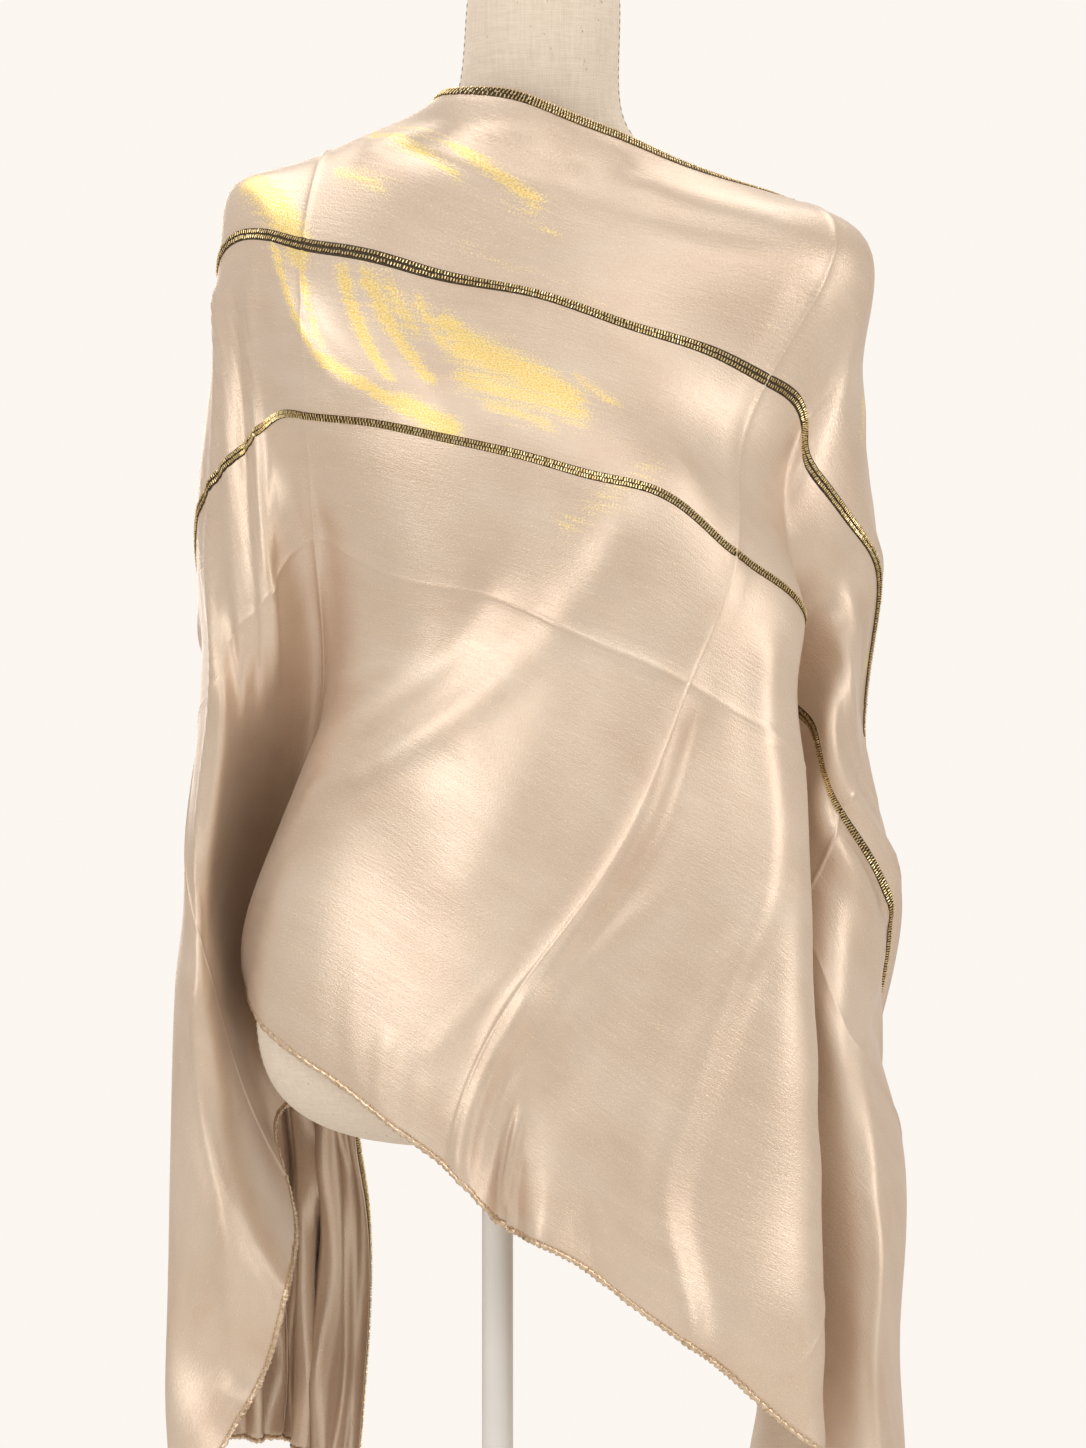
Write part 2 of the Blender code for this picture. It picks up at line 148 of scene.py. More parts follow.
def set_pattern(bm, uv_layer, flat_place):
    """Each corner of each face gets its point's place on the flat pattern."""
    for face in bm.faces:
        for loop in face.loops:
            loop[uv_layer].uv = flat_place[loop.vert]


def close_up(bm):
    """A wrapped grid is joined where it meets itself, and its two open ends are filled."""
    bmesh.ops.remove_doubles(bm, verts=bm.verts, dist=JOIN_WITHIN)
    bmesh.ops.holes_fill(bm, edges=[e for e in bm.edges if e.is_boundary], sides=0)
    bmesh.ops.recalc_face_normals(bm, faces=bm.faces)


def new_piece(name, bm, finish, smooth=True):
    """The finished bmesh becomes an object at the origin, with its material."""
    mesh = bpy.data.meshes.new(name)
    bm.to_mesh(mesh)
    bm.free()
    mesh.polygons.foreach_set("use_smooth", [smooth] * len(mesh.polygons))
    mesh.materials.append(finish)
    made = bpy.data.objects.new(name, mesh)
    bpy.context.scene.collection.objects.link(made)
    print(name, "has", len(mesh.polygons), "faces")
    return made


# %% [markdown]
# A procedural material is a small graph. These helpers add a node, link it and set its sockets, so
# that each finish below reads as a short recipe.

# %% Helpers for finishes
def new_finish(name, colour, metallic, roughness):
    made = bpy.data.materials.new(name)
    made.use_nodes = True
    shader = made.node_tree.nodes["Principled BSDF"]
    shader.inputs["Base Color"].default_value = (*colour, 1.0)
    shader.inputs["Metallic"].default_value = metallic
    shader.inputs["Roughness"].default_value = roughness
    made.diffuse_color = (*colour, 1.0)
    return made, made.node_tree, shader


def node(tree, kind, **values):
    made = tree.nodes.new(kind)
    for key, value in values.items():
        if key in made.inputs:
            made.inputs[key].default_value = value
        else:
            setattr(made, key, value)
    return made


def surface_places(tree, stretch):
    """Where each point is on the cloth's own flat pattern, stretched by this much each way."""
    uv = node(tree, "ShaderNodeUVMap", uv_map="cloth")
    mapping = node(tree, "ShaderNodeMapping", Scale=stretch)
    tree.links.new(uv.outputs["UV"], mapping.inputs["Vector"])
    return mapping.outputs["Vector"]


def object_places(tree, stretch=(1.0, 1.0, 1.0)):
    coords = node(tree, "ShaderNodeTexCoord")
    mapping = node(tree, "ShaderNodeMapping", Scale=stretch)
    tree.links.new(coords.outputs["Object"], mapping.inputs["Vector"])
    return mapping.outputs["Vector"]


def grain(tree, places, scale, detail=3.0, rough=0.6):
    made = node(tree, "ShaderNodeTexNoise", Scale=scale, Detail=detail, Roughness=rough)
    tree.links.new(places, made.inputs["Vector"])
    return made.outputs["Fac"]


def ramp(tree, value, stops):
    """A colour band: each stop is a position and a colour."""
    made = node(tree, "ShaderNodeValToRGB")
    made.color_ramp.elements[0].position = stops[0][0]
    made.color_ramp.elements[0].color = (*stops[0][1], 1.0)
    made.color_ramp.elements[1].position = stops[-1][0]
    made.color_ramp.elements[1].color = (*stops[-1][1], 1.0)
    for position, colour in stops[1:-1]:
        made.color_ramp.elements.new(position).color = (*colour, 1.0)
    tree.links.new(value, made.inputs["Fac"])
    return made.outputs["Color"]


def coloured(tree, shader, value, stops):
    """The finish takes its colour from a colour band of this value."""
    tree.links.new(ramp(tree, value, stops), shader.inputs["Base Color"])


def blended(tree, share, first, second):
    """Two colours mixed. The numbered sockets are the ones that a colour mix uses."""
    made = node(tree, "ShaderNodeMix", data_type="RGBA")
    for value, socket in ((share, 0), (first, 6), (second, 7)):
        if isinstance(value, bpy.types.NodeSocket):
            tree.links.new(value, made.inputs[socket])
        elif isinstance(value, tuple):
            made.inputs[socket].default_value = (*value, 1.0)
        else:
            made.inputs[socket].default_value = value
    return made.outputs[2]


def sums(tree, kind, first, second):
    made = node(tree, "ShaderNodeMath", operation=kind)
    for value, socket in ((first, 0), (second, 1)):
        if isinstance(value, bpy.types.NodeSocket):
            tree.links.new(value, made.inputs[socket])
        else:
            made.inputs[socket].default_value = value
    return made.outputs[0]


def ranged(tree, value, low, high, to_low, to_high):
    made = node(tree, "ShaderNodeMapRange")
    for key, number in zip(
        ("From Min", "From Max", "To Min", "To Max"), (low, high, to_low, to_high)
    ):
        made.inputs[key].default_value = number
    tree.links.new(value, made.inputs["Value"])
    return made.outputs["Result"]


def bumped(tree, shader, heights):
    """Bump nodes chained one after the other: each row is a height, a strength and a depth."""
    last = None
    for height, strength, depth in heights:
        made = node(tree, "ShaderNodeBump", Strength=strength, Distance=depth)
        tree.links.new(height, made.inputs["Height"])
        if last:
            tree.links.new(last, made.inputs["Normal"])
        last = made.outputs["Normal"]
    tree.links.new(last, shader.inputs["Normal"])


# %% [markdown]
# The floor lies below the picture. It is a plain pale square that catches shadows in the other
# views, and it belongs to the stage, not to the object.

# %% Floor
FLOOR_HALF = 1.6

floor_finish, floor_tree, floor_shader = new_finish("pale floor", (0.80, 0.77, 0.73), 0.0, 0.6)
mottle = grain(floor_tree, object_places(floor_tree), 14.0)
floor_colours = ((0.3, (0.78, 0.75, 0.71)), (0.7, (0.82, 0.79, 0.75)))
coloured(floor_tree, floor_shader, mottle, floor_colours)
bm = bmesh.new()
bmesh.ops.create_grid(bm, x_segments=1, y_segments=1, size=FLOOR_HALF)
floor = new_piece("floor", bm, floor_finish, smooth=False)

# %% [markdown]
# The form is a padded torso in natural linen. Its solid is a coarse loft, so the cover is a copy
# of it that is merged and subdivided until its outline is round. Linen has a plain weave, and
# thicker slubs and darker specks that run through it.

# %% Linen finish
WEAVE_PITCH = 0.0011
# A wave texture of scale 1 repeats every pi / 10 metres.
WEAVE_SCALE = math.pi / WEAVE_PITCH / 10

linen, linen_tree, linen_shader = new_finish("natural linen", (0.84, 0.75, 0.64), 0.0, 0.85)
linen_shader.inputs["Sheen Weight"].default_value = 0.25
linen_shader.inputs["Sheen Roughness"].default_value = 0.5
plain = object_places(linen_tree)
waves = []
for direction, detail in (("X", 1.5), ("Z", 1.0)):
    wave = node(linen_tree, "ShaderNodeTexWave", Scale=WEAVE_SCALE, Distortion=0.6)
    wave.bands_direction = direction
    wave.inputs["Detail Scale"].default_value = detail
    linen_tree.links.new(plain, wave.inputs["Vector"])
    waves.append(wave.outputs["Fac"])
slubs = grain(linen_tree, object_places(linen_tree, (60.0, 60.0, 700.0)), 1.0, 4.0)
upright_slubs = grain(linen_tree, object_places(linen_tree, (500.0, 500.0, 40.0)), 1.0, 3.0)
specks = grain(linen_tree, object_places(linen_tree, (1.0, 1.0, 0.7)), 260.0, 2.0)
clouds = grain(linen_tree, plain, 7.0, 2.0)
linen_colours = (
    (0.30, (0.72, 0.61, 0.50)),
    (0.52, (0.82, 0.725, 0.61)),
    (0.72, (0.89, 0.81, 0.70)),
)
both_slubs = sums(
    linen_tree,
    "ADD",
    sums(linen_tree, "MULTIPLY", slubs, 0.5),
    sums(linen_tree, "MULTIPLY", upright_slubs, 0.5),
)
tone = ramp(linen_tree, both_slubs, linen_colours)
dark = ranged(linen_tree, specks, 0.70, 0.76, 0.0, 0.75)
tone = blended(linen_tree, dark, tone, (0.26, 0.19, 0.13))
cloudy = ranged(linen_tree, clouds, 0.3, 0.7, 0.0, 0.22)
tone = blended(linen_tree, cloudy, tone, (0.75, 0.65, 0.54))
linen_tree.links.new(tone, linen_shader.inputs["Base Color"])
threads = sums(linen_tree, "ADD", *waves)
bumped(linen_tree, linen_shader, ((threads, 0.30, 0.0003), (slubs, 0.35, 0.0006)))

# %% Cover of the form
FORM_ROUNDING = 2
FORM_JOIN_WITHIN = 0.00002
# Two triangles become one four sided face when they bend and skew by less than this, in radians.
MOST_BEND = 0.6
MOST_SKEW = 1.2

bm = bmesh.new()
bm.from_mesh(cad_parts["dress_form"].data)
bmesh.ops.remove_doubles(bm, verts=bm.verts, dist=FORM_JOIN_WITHIN)
bmesh.ops.join_triangles(
    bm, faces=bm.faces, angle_face_threshold=MOST_BEND, angle_shape_threshold=MOST_SKEW
)
cover = new_piece("linen_form", bm, linen)
rounding = cover.modifiers.new("round", "SUBSURF")
rounding.levels = FORM_ROUNDING
rounding.render_levels = FORM_ROUNDING
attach(cover, "root")
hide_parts("dress_form")
bpy.context.view_layer.update()
form_surface = BVHTree.FromObject(cover, bpy.context.evaluated_depsgraph_get())

# %% [markdown]
# The drape. Each point of the cloth is named by its place on the flat oblong: ALONG the length
# from the middle, and DOWN the width from the beaded edge. The tables are the ones that the
# solids were made from. They say where such points lie, and a smooth surface runs through them.
# A cloth simulation would let the thin tissue slide off its fold lines, so it is laid from the listed
# points.

# %% How the cloth lies
MM = 0.001
STOLE_LENGTH = 2.100
STOLE_WIDTH = 0.700

# Each table below is one line of the cloth as it lies, in mm: ALONG, DOWN, then where that point
# lies: ACROSS (x), OUT (y, towards the back) and UP (z).
TOP_EDGE = (
    (-1000, 0, -96, 142, 588),
    (-800, 0, -100, 138, 790),
    (-600, 0, -102, 131, 992),
    (-400, 0, -94, 117, 1200),
    (-250, 0, -74, 97, 1362),
    (-150, 0, -46, 66, 1455),
    (-92, 0, -36, 4, 1489),
    (-68, 0, -26, -36, 1490),
    (-48, 0, 1, -57, 1488),
    (-26, 0, 24, -66, 1481),
    (3, 0, 49, -68, 1470),
    (34, 0, 75, -66, 1460),
    (66, 0, 100, -58, 1449),
    (124, 0, 146, -38, 1431),
    (165, 0, 180, -5, 1420),
    (215, 0, 199, 46, 1388),
    (300, 0, 203, 82, 1308),
    (450, 0, 200, 100, 1155),
    (620, 0, 194, 106, 982),
    (800, 0, 187, 108, 798),
    (1000, 0, 180, 106, 592),
)
UPPER_LINE = (
    (-270, 130, -184, 0, 1375),
    (-237, 130, -172, -30, 1392),
    (-215, 130, -157, -50, 1393),
    (-165, 130, -123, -76, 1383),
    (-78, 130, -41, -92, 1363),
    (-8, 130, 22, -100, 1350),
    (67, 130, 88, -102, 1328),
    (129, 130, 143, -94, 1311),
    (167, 130, 174, -80, 1296),
    (198, 130, 194, -62, 1284),
    (222, 130, 200, -50, 1268),
    (245, 130, 200, -55, 1251),
    (285, 130, 213, -50, 1229),
    (330, 130, 231, -30, 1207),
    (396, 130, 250, 10, 1177),
)
LOWER_LINE = (
    (-347, 260, -196, 10, 1219),
    (-305, 260, -180, -20, 1241),
    (-240, 260, -156, -35, 1265),
    (-190, 260, -136, -60, 1276),
    (-165, 260, -122, -80, 1273),
    (-118, 260, -78, -102, 1267),
    (-47, 260, -17, -122, 1253),
    (1, 260, 24, -127, 1243),
    (52, 260, 66, -130, 1231),
    (87, 260, 96, -130, 1224),
    (124, 260, 124, -126, 1208),
    (167, 260, 152, -118, 1183),
    (222, 260, 190, -95, 1157),
    (250, 260, 198, -78, 1142),
    (290, 260, 182, -38, 1128),
    (322, 260, 171, 0, 1115),
    (345, 260, 173, 12, 1107),
    (366, 260, 182, 9, 1098),
    (395, 260, 197, -13, 1084),
    (422, 260, 206, -34, 1073),
    (460, 260, 212, -42, 1046),
    (494, 260, 223, -35, 1022),
    (530, 260, 244, -15, 994),
    (562, 260, 259, 15, 966),
)
MIDDLE_LINE = (
    (-445, 350, -195, 5, 1089),
    (-400, 350, -183, -35, 1100),
    (-340, 350, -174, -30, 1131),
    (-270, 350, -152, -50, 1154),
    (-185, 350, -128, -40, 1191),
    (-165, 350, -116, -45, 1195),
    (-105, 350, -71, -85, 1172),
    (-24, 350, -10, -110, 1158),
    (70, 350, 60, -126, 1128),
    (167, 350, 123, -128, 1100),
    (222, 350, 161, -115, 1078),
    (290, 350, 198, -85, 1046),
    (350, 350, 176, -38, 1023),
    (394, 350, 162, 3, 1006),
    (420, 350, 163, 16, 994),
    (446, 350, 173, 14, 981),
    (490, 350, 192, -4, 955),
    (569, 350, 216, -30, 905),
    (628, 350, 236, -26, 862),
    (680, 350, 264, 20, 817),
)
# The valley of the front's right fold, and five rows for its ridge, which lies further out.
RIGHT_VALLEY = (
    (358, 305, 165, 0, 1060),
    (382, 305, 167, 15, 1050),
    (406, 305, 178, 12, 1040),
    (452, 425, 161, 0, 912),
    (478, 425, 161, 15, 902),
    (504, 425, 172, 13, 889),
    (348, 425, 202, -88, 951),
    (444, 550, 208, -90, 794),
    (400, 600, 140, -124, 773),
    (483, 600, 209, -88, 731),
    (521, 650, 210, -87, 668),
    (575, 600, 162, -5, 701),
    (600, 600, 163, 8, 692),
    (624, 600, 174, 7, 681),
)
HIP_LINE = (
    (-700, 580, -215, 20, 759),
    (-600, 520, -212, 14, 892),
    (-575, 521, -206, -6, 892),
    (-546, 522, -196, -18, 892),
    (-505, 524, -189, -13, 908),
    (-455, 525, -186, 6, 925),
    (-350, 520, -178, 54, 965),
    (-265, 520, -150, 100, 988),
    (-205, 520, -130, 74, 1003),
    (-150, 520, -132, 34, 1015),
    (-155, 450, -112, 8, 1090),
    (-100, 500, -119, -28, 1061),
    (-50, 600, -160, -2, 959),
    (0, 520, -71, -92, 1026),
    (167, 520, 46, -130, 949),
    (300, 520, 117, -127, 900),
    (406, 500, 206, -90, 857),
    (465, 500, 176, -42, 838),
    (515, 500, 160, 0, 820),
    (540, 500, 160, 13, 810),
    (566, 500, 170, 12, 797),
    (602, 500, 192, -3, 775),
    (650, 500, 226, -30, 742),
    (760, 500, 254, -26, 664),
)
LOWER_HEM = (
    (-1000, 700, -212, 50, 452),
    (-900, 700, -206, 10, 525),
    (-810, 700, -178, 0, 602),
    (-755, 700, -159, 20, 633),
    (-670, 700, -140, -20, 690),
    (-535, 700, -137, 62, 748),
    (-430, 700, -152, 100, 801),
    (-290, 700, -122, 120, 826),
    (-200, 700, -134, 94, 851),
    (-120, 700, -151, 66, 872),
    (-60, 700, -163, 34, 885),
    (0, 700, -160, -5, 895),
    (36, 700, -136, -60, 868),
    (67, 700, -110, -85, 850),
    (97, 700, -85, -102, 833),
    (128, 700, -61, -115, 815),
    (163, 700, -34, -122, 796),
    (200, 700, -9, -130, 771),
    (235, 700, 9, -108, 753),
    (262, 700, 22, -130, 748),
    (310, 700, 51, -130, 734),
    (360, 700, 81, -125, 711),
    (420, 700, 122, -130, 682),
    (490, 700, 159, -110, 650),
    (540, 700, 196, -95, 617),
    (560, 700, 209, -85, 606),
    (600, 700, 182, -48, 594),
    (635, 700, 164, -10, 582),
    (657, 700, 166, 3, 574),
    (680, 700, 177, 2, 564),
    (706, 700, 195, -12, 552),
    (750, 700, 212, -32, 525),
    (870, 700, 240, -40, 446),
    (1000, 700, 258, -15, 352),
)
SHOULDERS = (
    (-110, 40, -62, 0, 1474),
    (-150, 65, -97, 0, 1459),
    (-190, 78, -135, 0, 1444),
    (-240, 85, -176, 2, 1424),
    (-179, 12, -92, 62, 1432),
    (-95, 85, -55, -64, 1432),
    (-48, 50, 7, -71, 1441),
    (-72, 30, -29, -53, 1472),
    (-220, 30, -126, 64, 1406),
    (-255, 65, -158, 52, 1400),
    (-500, 420, -206, 10, 990),
    (-820, 620, -220, 30, 628),
    (205, 15, 223, 0, 1396),
    (254, 44, 237, 5, 1341),
    (302, 71, 243, 8, 1288),
    (860, 475, 270, 20, 594),
)

# Folds of the tails in mm, one row each: the fold's place on the cloth and on the form where it
# starts, then its place on the cloth at the end and where it hangs there, across and out. How high
# that end hangs follows from the length of cloth in between.
TAIL_FOLDS = (
    (-262, 25, -97, 95, 1362, -1000, 60, -110, 170),
    (-270, 40, -110, 92, 1361, -1000, 105, -130, 138),
    (-283, 62, -128, 86, 1359, -1000, 180, -151, 178),
    (-290, 75, -140, 80, 1358, -1000, 225, -171, 142),
    (-297, 89, -152, 71, 1357, -1000, 262, -189, 162),
    (-303, 103, -163, 60, 1356, -1000, 300, -206, 138),
    (-310, 124, -173, 47, 1352, -1000, 355, -190, 114),
    (-318, 145, -182, 34, 1348, -1000, 410, -207, 88),
    (-330, 180, -188, 20, 1325, -1000, 510, -191, 66),
    (301, 12, 210, 74, 1307, 1000, 60, 190, 142),
    (302, 18, 214, 71, 1307, 1000, 105, 210, 110),
    (303, 30, 221, 63, 1305, 1000, 180, 227, 141),
    (304, 38, 227, 55, 1304, 1000, 230, 245, 112),
    (304, 44, 231, 48, 1303, 1000, 265, 262, 112),
    (304, 50, 234, 41, 1301, 1000, 300, 255, 86),
    (303, 60, 240, 26, 1297, 1000, 370, 240, 48),
)
HANG_SHARE = 1.010
FOLD_SAMPLES = (0.0, 0.3, 0.6, 0.8, 1.0)
LINES = TOP_EDGE + UPPER_LINE + LOWER_LINE + MIDDLE_LINE + RIGHT_VALLEY + HIP_LINE + LOWER_HEM


def laid_rows():
    """Every row as (along, down) and (x, y, z) in metres, with the folds of the tails sampled."""
    rows = list(LINES + SHOULDERS)
    for a0, d0, x0, y0, z0, a1, d1, x1, y1 in TAIL_FOLDS:
        length = math.hypot(a1 - a0, d1 - d0)
        sideways = math.hypot(x1 - x0, y1 - y0)
        z1 = z0 - math.sqrt((length * HANG_SHARE) ** 2 - sideways**2)
        start = np.array((a0, d0, x0, y0, z0))
        finish = np.array((a1, d1, x1, y1, z1))
        rows.extend(start + (finish - start) * u for u in FOLD_SAMPLES)
    table = np.array([tuple(row) for row in rows]) * MM
    return table[:, :2], table[:, 2:]


def spread_of(gaps):
    """The bending function of a thin surface between points this far apart."""
    return gaps**3


marks, lies = laid_rows()
count = len(marks)
system = np.zeros((count + 3, count + 3))
system[:count, :count] = spread_of(np.linalg.norm(marks[:, None] - marks[None], axis=2))
system[:count, count:] = np.hstack([np.ones((count, 1)), marks])
system[count:, :count] = system[:count, count:].T
weights = np.linalg.solve(system, np.vstack([lies, np.zeros((3, 3))]))


def free_lay(along, down):
    """The smooth surface at these places of the cloth, before it is held off the form."""
    square = (along[..., None] - marks[:, 0]) ** 2 + (down[..., None] - marks[:, 1]) ** 2
    bend = spread_of(np.sqrt(square)) @ weights[:count]
    return bend + weights[count] + along[..., None] * weights[-2] + down[..., None] * weights[-1]


SEARCH_REACH = 0.05
WELL_CLEAR = 0.03


def held_off(points, clear, soft):
    """Points nearer to the form than CLEAR are moved out, with a soft landing."""
    held = points.copy()
    for place in np.ndindex(points.shape[:-1]):
        spot = Vector(points[place])
        near, normal, _, _ = form_surface.find_nearest(spot, SEARCH_REACH)
        if near is None:
            continue
        out = (spot - near).dot(normal)
        if out > WELL_CLEAR or (spot - near).length > WELL_CLEAR + abs(out):
            continue
        over = (out - clear) / soft
        kept = clear + soft * (max(over, 0.0) + math.log1p(math.exp(-abs(over))))
        held[place] = spot + normal * (kept - out)
    return held


print(count, "rows hold the cloth")

# %% [markdown]
# A bought stole comes out of its packet with pressed creases, and this one keeps them: four across
# it, a third of a metre apart, and one along its middle. They are narrow ridges, so the grid of
# the cloth gets extra lines there, in place of a finer grid all over.

# %% Lines of the cloth's grid
PRESSED_ALONG = (-0.500, -0.167, 0.167, 0.500)
PRESSED_DOWN = (0.350,)
PRESSED_HALF = 0.0016
GRID_ALONG = 0.0060
GRID_DOWN = 0.0058
# In half widths of a crease: how far the plain lines keep off it, and the extra lines' step.
PLAIN_LINES_KEEP = 2.4
EXTRA_LINES_STEP = 0.9


def grid_lines(low, high, step, creases):
    """Even lines from low to high, with five close ones over each crease."""
    lines = list(np.linspace(low, high, round((high - low) / step) + 1))
    for crease in creases:
        lines = [x for x in lines if abs(x - crease) > PLAIN_LINES_KEEP * PRESSED_HALF]
        lines += [crease + k * PRESSED_HALF * EXTRA_LINES_STEP for k in (-2, -1, 0, 1, 2)]
    return np.array(sorted(lines))


along_lines = grid_lines(-STOLE_LENGTH / 2, STOLE_LENGTH / 2, GRID_ALONG, PRESSED_ALONG)
down_lines = grid_lines(0.0, STOLE_WIDTH, GRID_DOWN, PRESSED_DOWN)
print(len(along_lines), "by", len(down_lines), "lines")

# %% [markdown]
# Folds. Each row below is one soft ridge or trough, from one place on the flat cloth to another,
# with its height and its width at each end. The big ones follow the picture: the pull from the
# right bust to the left hip, the pleats that fan from the neck, the slit above the hem. Others,
# uneven and alike, lie on the sides that the picture doesn't show.

# %% Folds, listed one by one
# In mm: ALONG and DOWN at the start, then at the end, height (minus for a trough), half width at
# the start and at the end.
SOFT_FOLDS = (
    (137, 44, 170, 262, 0.9, 9, 7),
    (172, 262, 169, 350, 2.0, 9, 9),
    (169, 350, 181, 600, 4.5, 11, 15),
    (186, 360, 205, 560, -3.2, 12, 20),
    (178, 560, 178, 700, 4.4, 14, 8),
    (196, 600, 192, 700, -3.5, 12, 9),
    (212, 300, 290, 456, 3.0, 12, 14),
    (290, 456, 419, 700, 5.0, 12, 13),
    (312, 470, 440, 690, -3.4, 13, 15),
    (156, 331, 281, 594, -2.2, 20, 26),
    (219, 481, 175, 662, 1.8, 10, 10),
    (226, 628, 233, 706, 5.6, 3.5, 6),
    (215, 626, 221, 706, -4.2, 4, 7),
    (119, 219, 62, 319, 2.0, 20, 18),
    (44, 330, 81, 550, 1.6, 22, 26),
    (-62, 531, -25, 512, 2.0, 7, 9),
    (-25, 512, 25, 381, 2.4, 9, 14),
    (25, 381, 81, 275, 1.8, 14, 14),
    (-56, 500, -12, 325, -2.2, 12, 16),
    (-40, 560, 20, 470, -1.8, 12, 16),
    (-162, 330, -120, 480, -2.8, 10, 14),
    (-180, 300, -150, 420, 1.8, 8, 9),
    (-131, 81, -37, 25, 2.4, 5, 7),
    (-106, 75, 44, 31, -2.2, 6, 8),
    (-144, 75, -75, 31, -1.8, 5, 6),
    (-90, 62, 0, 44, 1.6, 4, 6),
    (-25, 37, 137, 42, 1.6, 5, 6),
    (-19, 56, 131, 60, -1.5, 7, 7),
    (30, 48, 150, 52, 1.0, 4, 4),
    (40, 20, 150, 24, -1.0, 5, 6),
    (-212, 105, -130, 240, 1.0, 6, 8),
    (-195, 128, -130, 215, -0.9, 5, 7),
    (-120, 145, -60, 240, 1.0, 7, 9),
    (-95, 150, -20, 225, -0.8, 8, 9),
    (-222, 150, -262, 400, 3.4, 6, 9),
    (-246, 162, -300, 400, -3.0, 6, 9),
    (-275, 170, -330, 400, 2.2, 6, 9),
    (-219, 294, -269, 400, 1.6, 6, 8),
    (-275, 150, -412, 356, 1.2, 8, 10),
    (-275, 150, -325, 269, 2.6, 7, 8),
    (-325, 269, -412, 356, 2.8, 8, 8),
    (-412, 356, -475, 469, 2.8, 8, 8),
    (-475, 469, -550, 519, 2.8, 8, 8),
    (-550, 519, -637, 631, 2.6, 8, 8),
    (-637, 631, -775, 687, 2.4, 8, 8),
    (481, 162, 619, 306, 2.4, 8, 8),
    (619, 306, 663, 456, 2.6, 8, 9),
    (663, 456, 763, 544, 2.6, 9, 9),
    (763, 544, 930, 660, 2.2, 9, 9),
    (213, 87, 350, 119, 1.4, 8, 10),
    (150, 69, 219, 119, 1.2, 7, 7),
    (150, 560, 130, 640, 0.8, 5, 6),
    (60, 600, 92, 690, 1.0, 6, 5),
    (30, 610, 58, 694, -0.9, 6, 5),
    (100, 640, 112, 698, 1.4, 4, 5),
    (128, 644, 134, 700, -1.2, 4, 5),
    (250, 640, 262, 700, 1.1, 4, 5),
    (330, 650, 348, 700, 1.2, 4, 6),
    (-300, 30, -1040, 30, 5.0, 8, 11),
    (-310, 62, -1040, 70, -5.0, 7, 10),
    (-320, 96, -1040, 112, 5.0, 7, 10),
    (-330, 130, -1040, 156, -4.6, 7, 10),
    (-340, 168, -1040, 204, 4.4, 7, 10),
    (-420, 230, -1040, 262, -3.6, 8, 11),
    (-460, 280, -1040, 330, 3.2, 9, 12),
    (320, 24, 1040, 28, -5.0, 8, 11),
    (326, 52, 1040, 68, 5.0, 7, 10),
    (332, 84, 1040, 110, -5.0, 7, 10),
    (342, 120, 1040, 152, 4.6, 7, 10),
    (360, 156, 1040, 198, -4.2, 8, 10),
    (400, 200, 1040, 250, 3.2, 8, 11),
    (480, 260, 1040, 320, -2.6, 9, 12),
)
END_SHARE = 0.18


def softened(share):
    """A share from 0 to 1 that starts and ends gently."""
    share = np.clip(share, 0.0, 1.0)
    return share * share * (3 - 2 * share)


def fold_heights(along, down):
    """The sum of all soft folds, in metres, at these places of the cloth."""
    total = np.zeros(np.broadcast(along, down).shape)
    for a0, d0, a1, d1, high, wide0, wide1 in SOFT_FOLDS:
        run = np.array((a1 - a0, d1 - d0)) * MM
        length = np.hypot(*run)
        from_a = along - a0 * MM
        from_d = down - d0 * MM
        share = (from_a * run[0] + from_d * run[1]) / length**2
        off = (from_a * run[1] - from_d * run[0]) / length
        wide = (wide0 + (wide1 - wide0) * np.clip(share, 0, 1)) * MM
        ends = softened(share / END_SHARE + 0.5) * softened((1 - share) / END_SHARE + 0.5)
        total += high * MM * np.exp(-((off / wide) ** 2)) * ends
    return total


print(len(SOFT_FOLDS), "soft folds")

# %% Heights of the pressed creases
PRESSED_HIGH = 0.0011
# A crease is worn away in places: its mean strength, how much that varies, and how fast.
WORN_MEAN = 0.65
WORN_VARIES = 0.35
WORN_DOWN = 23
WORN_ALONG = 19
WORN_SHIFT = 40


def pressed_heights(along, down):
    """The pressed creases: narrow ridges, stronger in some stretches than in others."""
    total = np.zeros(np.broadcast(along, down).shape)
    for crease in PRESSED_ALONG:
        worn = WORN_MEAN + WORN_VARIES * np.sin(down * WORN_DOWN + crease * WORN_SHIFT)
        total += worn * np.exp(-(((along - crease) / PRESSED_HALF) ** 2))
    for crease in PRESSED_DOWN:
        worn = WORN_MEAN + WORN_VARIES * np.sin(along * WORN_ALONG)
        total += worn * np.exp(-(((down - crease) / PRESSED_HALF) ** 2))
    return total * PRESSED_HIGH



# %% [markdown]
# Where the laid surface is shorter than the cloth, the spare cloth has to stand in small folds.
# They run lengthwise, as they do in any gathered tail, and they are deeper where more is spare.

# %% Gathers of the tails
RIPPLE = 0.046
RIPPLE_MOST = 0.0085
RIPPLE_MEAN = 0.75
RIPPLE_VARIES = 0.6
RIPPLE_DRIFT = 3.2
CALM_MIDDLE = 0.36
CALM_FADE = 0.15
GATHERS_END = 0.34
GATHERS_FADE = 0.10
NARROWEST = 0.35
SPARE_MOST = 1.6
SMOOTHINGS = 12
# Noise rows: how fast it changes along and down, and its seed.
DRIFT_NOISE = (3.0, 5.0, 2.0)
WANDER_NOISE = (2.0, 9.0, 7.0)

along, down = np.meshgrid(along_lines, down_lines, indexing="ij")
lay = free_lay(along, down)


def smooth_noise(scale_along, scale_down, seed):
    """Noise from -1 to 1 at each point of the cloth's grid."""
    made = np.empty(along.shape)
    for place in np.ndindex(along.shape):
        spot = (along[place] * scale_along, down[place] * scale_down, seed)
        made[place] = noise.noise(spot)
    return made


